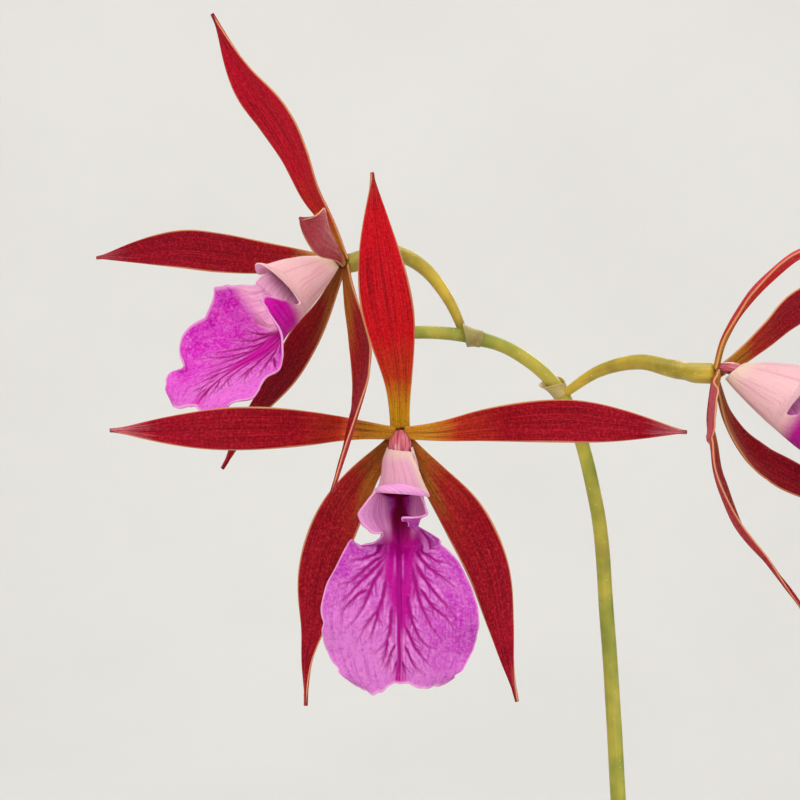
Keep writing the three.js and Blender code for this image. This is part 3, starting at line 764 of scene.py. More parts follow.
@dataclass(frozen=True)
class BulbFinish:
    """Ribbed waxy green, olive between the ribs, with purple where the sun reached it."""

    green: Dye = dye(112, 128, 56)
    olive: Dye = dye(74, 86, 34)
    sunned: Dye = dye(112, 62, 56)
    neck: Dye = dye(150, 156, 84)
    scar: Dye = dye(60, 48, 30)

    def material(self) -> bpy.types.Material:
        """Returns the finish as a material."""
        bench = Bench("bulb", Specular_IOR_Level=0.45, Coat_Weight=0.08, Coat_Roughness=0.35)
        uv, _, down = bench.blade()
        spot = bench.place()
        furrows = bench.mark("furrow")
        colour = bench.mix(furrows, self.green, self.olive)
        lines = bench.fibres(uv, 70, 3, 4, 0.6)
        colour = bench.tinge(colour, lines, 0.5, 0.7, self.olive, 0.45)
        patches = bench.grain(spot, 60, 3, 0.6)
        colour = bench.tinge(colour, patches, 0.55, 0.75, self.sunned, 0.45)
        colour = bench.tinge(colour, down, 0.8, 1.0, self.neck, 0.35)
        scars = bench.cells(spot, 420)
        colour = bench.tinge(colour, scars, 0.1, 0.04, self.scar, 0.6)
        rough = bench.step(patches, 0.3, 0.7, 0.5, 0.36)
        return bench.finished(colour, rough, bench.relief(lines, 0.0003, 0.7))


@dataclass(frozen=True)
class LeafFinish:
    """Leathery satin green with fine parallel lines, paler under, with a dry tip."""

    green: Dye = dye(70, 104, 46)
    deep: Dye = dye(44, 76, 32)
    under: Dye = dye(104, 130, 70)
    dry: Dye = dye(168, 140, 84)
    streak: Dye = dye(120, 150, 78)
    midrib: Dye = dye(126, 152, 84)
    margin: Dye = dye(158, 160, 92)
    fleck: Dye = dye(92, 66, 36)
    base: Dye = dye(150, 162, 96)

    def material(self) -> bpy.types.Material:
        """Returns the finish as a material."""
        bench = Bench(
            "leaf",
            Specular_IOR_Level=0.5,
            Coat_Weight=0.1,
            Coat_Roughness=0.3,
            Subsurface_Weight=0.05,
            Subsurface_Scale=0.001,
        )
        uv, over, down = bench.blade()
        spot = bench.place()
        clouds = bench.grain(spot, 38, 4, 0.6)
        colour = bench.tinge(self.deep, clouds, 0.35, 0.65, self.green)
        colour = bench.mix(bench.mark("upper"), self.under, colour)
        lines = bench.fibres(uv, 52, 1.4, 3, 0.6)
        colour = bench.tinge(colour, lines, 0.48, 0.66, self.deep, 0.5)
        colour = bench.tinge(colour, lines, 0.44, 0.3, self.streak, 0.28)
        aside = bench.aside(over)
        colour = bench.tinge(colour, aside, 0.03, 0.0, self.midrib, 0.5)
        colour = bench.tinge(colour, aside, 0.475, 0.5, self.margin, 0.7)
        flecks = bench.cells(spot, 240)
        colour = bench.tinge(colour, flecks, 0.09, 0.04, self.fleck, 0.7)
        ragged = bench.fray(down, clouds, 0.05)
        colour = bench.tinge(colour, ragged, 0.965, 0.99, self.dry)
        colour = bench.tinge(colour, down, 0.14, 0.0, self.base, 0.6)
        rough = bench.step(clouds, 0.3, 0.7, 0.46, 0.32)
        pores = bench.relief(bench.grain(spot, 1800, 2), 0.00006, 0.4, bench.relief(lines, 0.00035, 0.8))
        return bench.finished(colour, rough, pores)


@dataclass(frozen=True)
class RootFinish:
    """Grey-green spongy root skin, browner on the rhizome and greener at a growing tip."""

    grey: Dye = dye(178, 178, 154)
    moss: Dye = dye(118, 124, 84)
    brown: Dye = dye(122, 94, 64)
    woody: float = 0.0

    def material(self) -> bpy.types.Material:
        """Returns the finish as a material."""
        bench = Bench("root" if self.woody == 0 else "rhizome", Specular_IOR_Level=0.2)
        uv, _, down = bench.blade()
        spot = bench.place()
        clouds = bench.grain(spot, 160, 4, 0.65)
        colour = bench.tinge(self.moss, clouds, 0.38, 0.64, self.grey)
        colour = bench.mix(bench.step(clouds, 0.3, 0.7, self.woody, 0.35 + self.woody), colour, self.brown)
        fibres = bench.fibres(uv, 18, 40, 3, 0.6)
        colour = bench.tinge(colour, fibres, 0.5, 0.7, self.brown, 0.4)
        rough = bench.step(clouds, 0.3, 0.7, 0.9, 0.72)
        return bench.finished(colour, rough, bench.relief(fibres, 0.0004, 0.8))


@dataclass(frozen=True)
class BarkFinish:
    """Conifer bark: red-brown layers, each chip of its own shade, with corky grain."""

    name: str
    dark: Dye = dye(62, 38, 26)
    middle: Dye = dye(122, 76, 50)
    light: Dye = dye(172, 122, 84)

    def material(self) -> bpy.types.Material:
        """Returns the finish as a material."""
        bench = Bench(self.name, Specular_IOR_Level=0.2)
        spot = bench.place()
        shade = bench.mark("shade")
        layers = bench.grain(bench.stretch(spot, (1, 1, 4)), 180, 5, 0.7, 0.8)
        banded = bench.times(bench.sum("SUBTRACT", layers, 0.35), 0.9)
        tint = bench.sum("ADD", bench.times(shade, 0.7), banded)
        colour = bench.ramp(tint, [(0.0, self.dark), (0.42, self.middle), (0.85, self.light)])
        crumbs = bench.grain(spot, 1100, 4, 0.75)
        colour = bench.tinge(colour, crumbs, 0.5, 0.68, self.dark, 0.55)
        damp = bench.grain(spot, 45, 2)
        colour = bench.tinge(colour, damp, 0.5, 0.7, self.dark, 0.45)
        coarse = bench.relief(layers, 0.0012, 0.9)
        rough = bench.step(damp, 0.4, 0.7, 0.95, 0.75)
        return bench.finished(colour, rough, bench.relief(crumbs, 0.0004, 0.8, coarse))


@dataclass(frozen=True)
class ClayFinish:
    """Fired clay: orange-brown with fine sand, pale bloom on the wall and a darker damp foot."""

    clay: Dye = dye(190, 108, 74)
    burnt: Dye = dye(158, 78, 50)
    bloom: Dye = dye(222, 184, 156)
    damp: Dye = dye(116, 62, 42)
    pale_sand: Dye = dye(226, 170, 132)
    dark_sand: Dye = dye(104, 52, 36)

    def material(self) -> bpy.types.Material:
        """Returns the finish as a material."""
        bench = Bench("clay", Specular_IOR_Level=0.25)
        spot = bench.place()
        parts = bench.add("ShaderNodeSeparateXYZ")
        bench.feed(parts.inputs[0], spot)
        height = parts.outputs[2]
        clouds = bench.grain(spot, 26, 4, 0.62)
        colour = bench.tinge(self.burnt, clouds, 0.36, 0.66, self.clay)
        turned = bench.grain(bench.stretch(spot, (2, 2, 120)), 6, 3, 0.6)
        colour = bench.tinge(colour, turned, 0.5, 0.72, self.burnt, 0.3)
        salts = bench.grain(spot, 55, 5, 0.72, 0.5)
        band = bench.step(height, 0.015, 0.05)
        crust = bench.times(bench.step(salts, 0.53, 0.72, 0, 0.75), band)
        colour = bench.mix(crust, colour, self.bloom)
        damp = bench.step(bench.sum("ADD", height, bench.times(clouds, 0.02)), 0.034, 0.012, 0, 0.45)
        colour = bench.mix(damp, colour, self.damp)
        sand = bench.grain(spot, 1500, 3, 0.7)
        colour = bench.tinge(colour, sand, 0.6, 0.74, self.pale_sand, 0.45)
        colour = bench.tinge(colour, sand, 0.38, 0.26, self.dark_sand, 0.4)
        grooves = bench.relief(turned, 0.0004, 0.6)
        rough = bench.step(salts, 0.3, 0.7, 0.8, 0.95)
        return bench.finished(colour, rough, bench.relief(sand, 0.00022, 0.7, grooves))


@dataclass(frozen=True)
class StudioFinish:
    """A matt pale floor that runs up into the backdrop."""

    pale: Dye = dye(226, 224, 220)
    shaded: Dye = dye(214, 212, 208)

    def material(self) -> bpy.types.Material:
        """Returns the finish as a material."""
        bench = Bench("studio floor", Specular_IOR_Level=0.1)
        clouds = bench.grain(bench.place(), 3.0, 3)
        colour = bench.tinge(self.pale, clouds, 0.3, 0.7, self.shaded, 0.25)
        return bench.finished(colour, bench.step(clouds, 0.3, 0.7, 0.85, 0.95))


# The pot and what fills it


def turned(
    profile: Sequence[tuple[float, float]], turns: int, unit: float = MM, merge: float = 1e-6
) -> bmesh.types.BMesh:
    """Turns an outline once round the upright axis.

    Args:
        profile: The radius and height of each of its points.
        turns: The number of steps in the turn.
        unit: The length of its unit, in metres.
        merge: How close two points lie that become one, in metres.

    Returns:
        The turned skin, whose faces don't look the same way yet.
    """
    bm = bmesh.new()
    verts = [bm.verts.new((r * unit, 0, z * unit)) for r, z in profile]
    for a, b in zip(verts, verts[1:]):
        bm.edges.new((a, b))
    bmesh.ops.spin(
        bm,
        geom=bm.verts[:] + bm.edges[:],
        cent=(0, 0, 0),
        axis=(0, 0, 1),
        angle=2 * math.pi,
        steps=turns,
        use_merge=True,
    )
    bmesh.ops.remove_doubles(bm, verts=bm.verts[:], dist=merge)
    return bm


@dataclass
class Pot:
    """A clay pot with a banded rim and drain holes, turned on a wheel."""

    height: float = 106
    foot: float = 41
    band: float = 57
    rim: float = 61
    band_height: float = 22
    wall: float = 4.5
    floor: float = 6
    drain: float = 5
    drain_circle: float = 24
    drains: int = 4
    drain_from: float = 19  # the floor is opened between these two rings
    drain_to: float = 29
    drain_turn: float = 11.3  # and over this angle to both sides, in degrees
    turns: int = 144
    finish: ClayFinish = field(default_factory=ClayFinish)

    def well(self, z: float) -> float:
        """Returns the radius of the inside at height z."""
        share = (z - self.floor) / (self.height - self.floor)
        return lerp(self.foot - self.wall, self.rim - self.wall, share)

    def profile(self) -> list[tuple[float, float]]:
        """Returns the turned outline, from the middle of the underside round to the middle of the floor."""
        band_foot = self.height - self.band_height
        outside = [(self.foot, 3.0)]
        for i in range(1, 12):
            share = i / 12
            bow = 0.5 * math.sin(math.pi * share)
            outside.append((lerp(self.foot, self.band - 1, share) + bow, lerp(3, band_foot, share)))
        inside = [(self.well(z), z) for z in (104, 98, 90, 75, 55, 35, 18)]
        under = [(r, 0.0) for r in self._rings()[1:]] + [(36.0, 0.0), (39.0, 0.0), (40.3, 0.8)]
        top = [
            (self.band - 1, band_foot),
            (self.rim - 1.2, band_foot + 0.2),
            (self.rim, band_foot + 1.6),
            (self.rim, self.height - 4),
            (self.rim - 0.6, self.height - 1.4),
            (self.rim - 1.8, self.height - 0.2),
            (self.rim - 3.0, self.height),
            (self.well(self.height) + 0.6, self.height - 0.7),
        ]
        floor = [(self.well(self.floor) - 2.2, self.floor + 0.6), (33.0, self.floor)]
        floor += [(r, self.floor) for r in reversed(self._rings()[1:])]
        return [*under, *outside, *top, *inside, *floor]

    def _rings(self) -> list[float]:
        """Returns the radii of the rings that both faces of the floor have round the drain holes."""
        return [0.0, 8.0, 14.0, 19.0, 21.5, 24.0, 26.5, 29.0]

    def _shape(self) -> bmesh.types.BMesh:
        """Returns the turned shell with its drain holes."""
        bm = turned(self.profile(), self.turns)
        for i in range(self.drains):
            self._drain(bm, 2 * math.pi * (i + 0.5) / self.drains)
        middles = [edge for edge in bm.edges if edge.is_boundary]
        bmesh.ops.holes_fill(bm, edges=middles, sides=0)
        bmesh.ops.recalc_face_normals(bm, faces=bm.faces[:])
        return bm

    def _drain(self, bm: bmesh.types.BMesh, angle: float) -> None:
        """Opens one drain hole through both faces of the floor."""
        centre = compass(angle) * self.drain_circle
        doomed = []
        for face in bm.faces:
            middle = face.calc_center_median() / MM
            flat = Vector((middle.x, middle.y, 0))
            if middle.z > self.floor + 0.1 or not self.drain_from < flat.length < self.drain_to:
                continue
            turn = (math.atan2(flat.y, flat.x) - angle + math.pi) % (2 * math.pi) - math.pi
            if abs(turn) < math.radians(self.drain_turn):
                doomed.append(face)
        before = {edge for edge in bm.edges if edge.is_boundary}
        bmesh.ops.delete(bm, geom=doomed, context="FACES")
        edges = [edge for edge in bm.edges if edge.is_boundary and edge not in before]
        for vert in {vert for edge in edges for vert in edge.verts}:
            flat = Vector((vert.co.x / MM, vert.co.y / MM, 0)) - centre
            flat = centre + flat.normalized() * self.drain
            vert.co = Vector((flat.x, flat.y, vert.co.z / MM)) * MM
        bmesh.ops.bridge_loops(bm, edges=edges)

    def build(self) -> None:
        """Makes the pot."""
        bm = self._shape()
        for vert in bm.verts:
            swell = noise.noise(Vector((vert.co.x * 6, vert.co.y * 6, vert.co.z * 160)))
            flat = Vector((vert.co.x, vert.co.y, 0))
            if flat.length > 0.03 and vert.co.z > 0.002:
                vert.co += flat.normalized() * swell * 0.12 * MM
        hand_over(bm, "pot", self.finish.material(), ["pot"])


@dataclass
class BarkBed:
    """The filling of the pot, heaped with loose chips."""

    pot: Pot
    top: float = 95
    crown: float = 4
    chips: int = 300
    spread: float = 50
    turns: int = 72
    long: float = 17
    wide: float = 10
    thick: float = 4.5
    seed: int = 4177

    def _heap(self) -> bmesh.types.BMesh:
        """Returns the filling, which follows the pot's inside."""
        foot = self.pot.floor + GAP
        profile = [(0.0, foot)]
        profile += [(self.pot.well(z) - GAP, z) for z in (foot, 30, 60, self.top - 3)]
        profile += [(44, self.top - 1), (30, self.top + 0.5), (15, self.top + 2.5), (0.0, self.top + 3)]
        bm = turned(profile, self.turns)
        bmesh.ops.recalc_face_normals(bm, faces=bm.faces[:])
        return bm

    @staticmethod
    def _blank() -> bpy.types.Mesh:
        """Returns the block that every chip is made from."""
        bm = bmesh.new()
        bmesh.ops.create_cube(bm, size=1)
        bmesh.ops.subdivide_edges(bm, edges=bm.edges[:], cuts=1, use_grid_fill=True)
        blank = bpy.data.meshes.new("chip_blank")
        bm.to_mesh(blank)
        bm.free()
        return blank

    def _chip(
        self,
        bm: bmesh.types.BMesh,
        blank: bpy.types.Mesh,
        shade: object,
        draw: random.Random,
        out: float,
        turn: float,
    ) -> None:
        """Adds one rough chip to the bed.

        Args:
            bm: The bed's mesh.
            blank: The block that it is made from.
            shade: The layer that keeps each chip's shade.
            draw: The stream of random numbers.
            out: How far it lies from the middle, in mm.
            turn: The angle at which it lies round the middle.
        """
        before = len(bm.verts)
        bm.from_mesh(blank)
        verts = bm.verts[before:]
        size = draw.uniform(0.55, 1.2)
        wide, thick = self.wide * size * draw.uniform(0.8, 1.25), self.thick * draw.uniform(0.7, 1.3)
        scale = Vector((self.long * size, wide, thick))
        tilt = Matrix.Rotation(draw.uniform(-0.5, 0.5), 3, "X")
        tilt = tilt @ Matrix.Rotation(draw.uniform(-0.5, 0.5), 3, "Y")
        spin = Matrix.Rotation(draw.uniform(0, math.pi), 3, "Z")
        level = self.top + self.crown * (1 - out / self.spread) + draw.uniform(-1.2, 1.6)
        centre = Vector((out * math.cos(turn), out * math.sin(turn), level))
        tone = draw.uniform(0, 1)
        for vert in verts:
            rough = Vector((draw.uniform(-1, 1), draw.uniform(-1, 1), draw.uniform(-1, 1)))
            corner = vert.co * (0.86 if vert.co.length > 0.8 else 1.0) + rough * 0.07
            vert.co = (centre + spin @ tilt @ (corner * scale)) * MM
            vert[shade] = tone
        limit = (self.pot.well(self.top) - 1.0) * MM
        reach = max(Vector((vert.co.x, vert.co.y)).length for vert in verts)
        if reach > limit:
            inward = compass(turn) * (reach - limit)
            for vert in verts:
                vert.co -= inward

    def build(self) -> None:
        """Makes the filling and its chips."""
        heap = self._heap()
        shade = heap.verts.layers.float.new("shade")
        for vert in heap.verts:
            vert[shade] = 0.1
        hand_over(heap, "bark_filling", BarkFinish("bark filling").material(), ["bark"])
        draw = random.Random(self.seed)
        bm = bmesh.new()
        shade = bm.verts.layers.float.new("shade")
        blank = self._blank()
        for i in range(self.chips):
            out = self.spread * math.sqrt((i + 0.5) / self.chips)
            self._chip(bm, blank, shade, draw, out, i * GOLDEN_ANGLE)
        bpy.data.meshes.remove(blank)
        bmesh.ops.recalc_face_normals(bm, faces=bm.faces[:])
        hand_over(bm, "bark_chips", BarkFinish("bark chips").material(), ["bark"], smooth=False)


# The plant above the bark


@dataclass(frozen=True)
class LeafShape:
    """A strap leaf: the way it leans, its length and width, and its lean at the bulb and at the tip."""

    azimuth: float
    length: float
    width: float
    start_lean: float
    end_lean: float


@dataclass
class StemBulb:
    """A ribbed stem bulb in its dry sheath, with the leaves on its neck."""

    number: int
    x: float
    y: float
    height: float
    radius: float
    lean: float
    leaves: list[LeafShape]
    lead: bool = False
    foot: float = 101.6
    neck: float = 3.6

    def midline(self) -> Midline:
        """Returns the bulb's midline."""
        shift = self.height * math.tan(math.radians(self.lean))
        return Midline(
            [
                (self.x, self.y, self.foot),
                (self.x, self.y, self.foot + self.height * 0.15),
                (self.x + shift * 0.35, self.y, self.foot + self.height * 0.5),
                (self.x + shift, self.y, self.foot + self.height),
            ]
        )

    def girth(self, share: float) -> float:
        """Returns the plain radius at a share of the height."""
        belly = math.sin(math.pi * (0.12 + 0.8 * share) ** 0.85)
        return lerp(self.neck, self.radius, belly)

    def furrow(self, share: float, angle: float) -> float:
        """Returns how deep the skin lies between ribs, from 0 to 1."""
        wander = 0.5 * noise.noise(Vector((self.number * 3.1, share * 3, math.sin(angle))))
        ribs = 0.5 - 0.5 * math.cos(6 * angle + wander)
        fine = 0.5 - 0.5 * math.cos(17 * angle + 3 * wander + self.number)
        return 0.72 * ribs + 0.28 * fine * math.sin(math.pi * share)

    def _bulb(self) -> None:
        """Makes the bulb."""
        line = self.midline()

        def radii(share: float, angle: float) -> float:
            """Returns the ribbed radius."""
            rib = 1 + 0.045 - 0.085 * self.furrow(share, angle)
            return self.girth(share) * rib * rounded(share, self.height, 0.9, 1.2)

        bm = limb(line, radii, 72, 64, AHEAD)
        layer = bm.verts.layers.float.new("furrow")
        over = bm.verts.layers.float.get("over")
        down = bm.verts.layers.float.get("down")
        for vert in bm.verts:
            share = (1 - math.cos(math.pi * vert[down])) / 2
            vert[layer] = self.furrow(share, math.pi * vert[over]) ** 2
        name = f"stem_bulb_{self.number}"
        hand_over(bm, name, BulbFinish().material(), [name])

    def _sheath(self) -> None:
        """Makes the dry sheath round the bulb's foot, split in front and torn along its top."""
        line = self.midline()
        tall = 0.34 + 0.05 * math.sin(self.number * 2.3)
        facing = Quaternion(UP, self.number * 1.9) @ AHEAD

        def place(u: float, v: float) -> Vector:
            """Returns a point of the sheath."""
            torn = 0.22 * noise.noise(Vector((u * 4.2, self.number * 1.7, 0.3)))
            torn += 0.07 * noise.noise(Vector((u * 17, self.number * 2.9, 1.3)))
            share = lerp(0.02, tall * (1 + torn) * (1 - 0.3 * abs(u) ** 3), v)
            at, across, normal = line.frame_at(share, facing)
            angle = math.radians(172) * u
            loose = 0.45 + 0.9 * v**3 * (0.6 + 0.4 * math.sin(5 * u + self.number))
            crinkle = 0.16 * noise.noise(Vector((u * 9, v * 2, self.number * 1.1)))
            reach = self.girth(share) * 1.05 + loose + crinkle
            return at - normal * math.cos(angle) * reach + across * math.sin(angle) * reach

        bm = Weave(96, 26, place).blade(lambda u, v: lerp(0.32, 0.14, v))
        hand_over(bm, f"bulb_sheath_{self.number}", PaperFinish().material())

    def _leaf(self, index: int, shape: LeafShape) -> None:
        """Makes one thick strap leaf, folded along its middle."""
        away = compass(math.radians(shape.azimuth))
        apart = 0.0 if len(self.leaves) == 1 else (3.4 if self.lead else 3.0)
        root = self.midline().point(1) + Vector((0, 0, 2 * GAP)) + away * apart
        points = [root]
        spans = 6
        for i in range(spans):
            lean = math.radians(lerp(shape.start_lean, shape.end_lean, (i + 0.5) / spans))
            step = away * math.sin(lean) + UP * math.cos(lean)
            points.append(points[-1] + step * shape.length / spans)
        line = Midline(points)
        frames: dict[float, tuple[Vector, Vector, Vector]] = {}
        phase = self.number * 1.3 + index * 2.1

        def place(u: float, v: float) -> Vector:
            """Returns a point of the leaf."""
            if v not in frames:
                frames[v] = line.frame_at(v, -away)
            at, across, normal = frames[v]
            swell = lerp(0.36, 1, math.sin(QUARTER * min(v / 0.35, 1)))
            point = math.cos(QUARTER * max((v - 0.55) / 0.45, 0)) ** 0.7
            half = max(shape.width / 2 * swell * point, 0.5)
            fold = 0.42 * half * (math.sqrt(u * u + 0.012) - 0.11) * (1 - 0.35 * v)
            lag = 1.4 if u < 0 else 0
            sway = 0.9 * smoothstep(v, 0.1, 0.5) * abs(u) ** 2 * math.sin(7 * v + phase + lag)
            ribs = 0.05 * math.cos(9 * math.pi * u)
            return at + across * u * half + normal * (fold + sway + ribs)

        bm = Weave(36, 100, place).blade(lambda u, v: lerp(1.7, 0.7, u * u) * lerp(1, 0.75, v))
        name = f"leaf_{self.number}_{index}"
        hand_over(bm, name, LeafFinish().material(), [name])

    def build(self) -> None:
        """Makes the bulb, its sheath and its leaves."""
        self._bulb()
        self._sheath()
        for index, shape in enumerate(self.leaves, 1):
            self._leaf(index, shape)


BULBS = [
    StemBulb(1, -36, 8, 46, 7.2, -7, [LeafShape(196, 150, 14, 16, 72)]),
    StemBulb(2, -19, 5, 56, 7.6, -4, [LeafShape(122, 172, 16, 12, 66), LeafShape(248, 165, 15, 14, 70)]),
    StemBulb(3, -1.5, 4, 62, 8, -1, [LeafShape(98, 188, 17, 10, 58), LeafShape(262, 180, 17, 13, 66)]),
    StemBulb(
        4, 16.5, 3, 66, 8, 0, [LeafShape(66, 192, 17, 11, 60), LeafShape(292, 184, 17, 12, 64)], lead=True
    ),
    StemBulb(5, 34, 1, 42, 6.4, 8, [LeafShape(48, 150, 15, 12, 64), LeafShape(290, 140, 14, 16, 70)]),
]


@dataclass
class Rootstock:
    """The creeping rhizome and the roots that dive from it into the bark."""

    radius: float = 3.2
    height: float = 97
    overhang: float = 6
    foot_top: float = 103.5
    root: float = 1.5
    root_tip: float = 1.1
    hump: float = 4
    dive: float = 10
    roots: tuple[tuple[int, float, float], ...] = (
        (0, 235, 12),
        (0, 105, 20),
        (1, 265, 25),
        (2, 80, 26),
        (3, 275, 24),
        (4, 35, 13),
    )

    def _rhizome(self) -> None:
        """Makes the ringed rhizome."""
        first, last = BULBS[0], BULBS[-1]
        points = [(first.x - self.overhang, first.y + 1, self.height)]
        points += [(bulb.x, bulb.y, self.height) for bulb in BULBS]
        points += [(last.x + self.overhang, last.y, self.height)]
        line = Midline(points)

        def radii(share: float, angle: float) -> float:
            """Returns the radius with its rings and knobs."""
            ring = 0.06 * (1 - abs(math.sin(math.pi * share * 17))) ** 2
            knob = 0.12 * noise.noise(Vector((share * 12, math.sin(angle), math.cos(angle))))
            return self.radius * (0.94 + ring + knob) * rounded(share, line.length, 2.5, 2.5)

        bm = limb(line, radii, 40, 220, UP)
        hand_over(bm, "rhizome", RootFinish(woody=0.55).material(), ["rhizome"])
        for bulb in BULBS:
            levels = (self.height, self.height + 3, self.foot_top)
            neck = Midline([(bulb.x, bulb.y, level) for level in levels])

            def girth(share: float, angle: float) -> float:
                """Returns the radius of the short foot that carries the bulb."""
                return lerp(self.radius, bulb.girth(0.02) * 0.96, share) * (1 + 0.03 * math.cos(8 * angle))

            foot = limb(neck, girth, 32, 10, AHEAD)
            hand_over(foot, f"bulb_foot_{bulb.number}", RootFinish(woody=0.55).material())

    def _root(self, number: int, index: int, azimuth: float, run: float) -> None:
        """Makes one root, which humps over the bark and dives into it."""
        away = compass(math.radians(azimuth))
        side = UP.cross(away)
        start = Vector((BULBS[index].x, BULBS[index].y, self.height))
        stops = [
            start,
            start + away * run * 0.3 + UP * self.hump * 0.75 + side * 0.5,
            start + away * run * 0.55 + UP * self.hump - side * 0.5,
            start + away * run * 0.8 + UP * 1.6,
            start + away * run - UP * 2,
            start + away * (run + 2) - UP * self.dive,
        ]
        line = Midline(stops)

        def radii(share: float, angle: float) -> float:
            """Returns the slightly uneven radius."""
            bump = 0.07 * noise.noise(Vector((share * 14, number * 2.7, math.cos(angle))))
            return lerp(self.root, self.root_tip, share) * (1 + bump) * rounded(share, line.length, 0.6, 1.4)

        bm = limb(line, radii, 20, 90, side)
        hand_over(bm, f"root_{number}", RootFinish().material(), ["rhizome"])

    def build(self) -> None:
        """Makes the rhizome and its roots."""
        self._rhizome()
        for number, (index, azimuth, run) in enumerate(self.roots, 1):
            self._root(number, index, azimuth, run)


# The blooms


@dataclass(frozen=True)
class Outline:
    """How wide a sepal or petal is along its length."""

    root: float
    widest: float
    peak: float
    rise: float
    fall: float
    forward: float  # how far its root stands before the end of the stalk
    tip: float = 0.5

    def half_width(self, v: float) -> float:
        """Returns the half width at a share of the length."""
        if v < self.peak:
            return lerp(self.root, self.widest, math.sin(QUARTER * v / self.peak) ** self.rise) / 2
        left = max(math.cos(QUARTER * (v - self.peak) / (1 - self.peak)), 0.0)
        return max(self.widest * left**self.fall, self.tip * (1 - 0.6 * smoothstep(v, 0.96, 1))) / 2


class Outlines(Enum):
    """The outlines of the three kinds of sepals and petals."""

    DORSAL = Outline(2.9, 7.7, 0.5, 2.2, 1.1, 0.25)
    PETAL = Outline(1.9, 6.3, 0.58, 1.3, 1.0, 0.75)
    SEPAL = Outline(2.0, 6.9, 0.4, 1.5, 1.25, 0.1)


@dataclass
class Tepal:
    """A sepal or petal, from its root on the stalk's end to its drawn-out tip."""

    name: str
    outline: Outlines
    spoke: float  # clockwise from the top in degrees, seen from in front
    path: list[tuple[float, float, float]]  # from the hub, in mm
    looks: tuple[tuple[float, float, float], tuple[float, float, float]] | None = None
    tone: Tone | None = None
    wave: float = 0.3

    def build(self, bloom: str, hub: Vector, face: Vector) -> None:
        """Makes the sepal or petal.

        Args:
            bloom: The name of the bloom that it belongs to.
            hub: The place of the bloom's hub, in mm.
            face: The way that the bloom looks.
        """
        shape = self.outline.value
        rightward = UP.cross(face)
        out = 0.8
        angle = math.radians(self.spoke)
        root = face * shape.forward + rightward * out * math.sin(angle) + UP * out * math.cos(angle)
        line = Midline([root, *self.path])
        first, last = (Vector(look) for look in self.looks) if self.looks else (face, face)
        phase = len(self.name) * 1.7 + self.spoke
        frames: dict[float, tuple[Vector, Vector, Vector, float]] = {}

        def place(u: float, v: float) -> Vector:
            """Returns a point of the blade."""
            if v not in frames:
                frames[v] = (*line.frame_at(v, first.lerp(last, v * v)), shape.half_width(v))
            at, across, normal, half = frames[v]
            channel = 0.22 * half * (math.sqrt(u * u + 0.01) - 0.1) * (0.4 + 0.6 * abs(u))
            lag = 1.9 if u < 0 else 0.0
            wave = self.wave * smoothstep(v, 0.1, 0.4) * abs(u) ** 3 * math.sin(11 * v + phase + lag)
            ribs = 0.035 * math.cos(7 * math.pi * u) * smoothstep(v, 0.0, 0.15)
            dimple = 0.12 * noise.noise(Vector((u * 1.6, v * 9, phase)))
            return hub + at + across * u * half + normal * (channel + wave + ribs + dimple)

        bm = Weave(24, 110, place).blade(lambda u, v: lerp(0.75, 0.22, u**4) * lerp(1, 0.7, v))
        name = f"{bloom}_bloom_{self.name}"
        golden = int(math.copysign(1, self.spoke)) if self.outline is Outlines.SEPAL else 0
        finish = TepalFinish(self.tone or Tone[self.outline.name], 0 if self.tone else golden)
        hand_over(bm, name, finish.material(), [name])


# The main veins of a lip's middle lobe on its flattened outline, in mm: each has its radius where it
# starts and the points that it passes, as far from the middle and as far down the lip.
VEINS = {
    1: (
        (0.2, (2.2, 16.4), (4.2, 17.0), (6.4, 17.4)),
        (0.24, (2.2, 17.0), (3.8, 18.2), (5.6, 19.0), (7.6, 19.6)),
        (0.3, (2.0, 17.0), (3.6, 19.2), (6.2, 21.4), (8.6, 22.8)),
        (0.34, (2.0, 18.8), (3.6, 21.2), (6.0, 24.2), (8.3, 27.2)),
        (0.3, (2.5, 22.6), (4.6, 25.4), (6.9, 27.5), (8.4, 28.8)),
        (0.38, (1.9, 19.4), (2.7, 24.0), (4.1, 27.5), (6.2, 30.4)),
        (0.34, (1.2, 23.6), (2.1, 28.0), (3.8, 30.9), (5.4, 31.6)),
        (0.28, (0.7, 27.8), (2.2, 31.2), (4.7, 34.2)),
        (0.22, (0.6, 31.0), (1.9, 33.6), (3.3, 35.4)),
        (0.16, (0.3, 33.4), (0.9, 35.2), (1.3, 36.2)),
    ),
    -1: (
        (0.2, (2.6, 16.2), (4.4, 16.6), (6.2, 16.4)),
        (0.28, (2.4, 16.8), (4.9, 18.5), (7.6, 18.9)),
        (0.3, (2.3, 17.8), (4.6, 19.9), (7.3, 21.5), (9.3, 22.2)),
        (0.34, (2.2, 18.4), (5.2, 21.5), (7.4, 23.6), (9.4, 25.4)),
        (0.3, (4.4, 22.9), (6.0, 23.7), (7.4, 25.0), (8.8, 27.0)),
        (0.36, (2.4, 19.4), (4.2, 22.9), (5.6, 26.2), (8.0, 28.8)),
        (0.34, (1.9, 20.8), (2.9, 25.6), (4.7, 27.9), (6.6, 31.0)),
        (0.28, (2.8, 25.8), (3.8, 28.2), (4.6, 30.8)),
        (0.3, (1.1, 25.0), (1.9, 29.9), (3.2, 31.7), (4.4, 32.4)),
        (0.24, (1.8, 29.6), (2.1, 31.6), (2.9, 34.2)),
        (0.2, (0.5, 30.8), (1.5, 33.2), (2.2, 35.2)),
        (0.16, (0.3, 33.2), (0.8, 35.2), (1.1, 36.2)),
    ),
}


# The pale streaks in the magenta fan down a lip's middle, in mm: how far each lies from the middle, and
# how far down it starts and ends.
STREAKS = (
    (-0.75, 17.2, 22.0),
    (0.42, 17.4, 22.4),
    (-1.75, 16.2, 19.6),
    (1.5, 16.8, 19.4),
    (1.7, 20, 22),
)


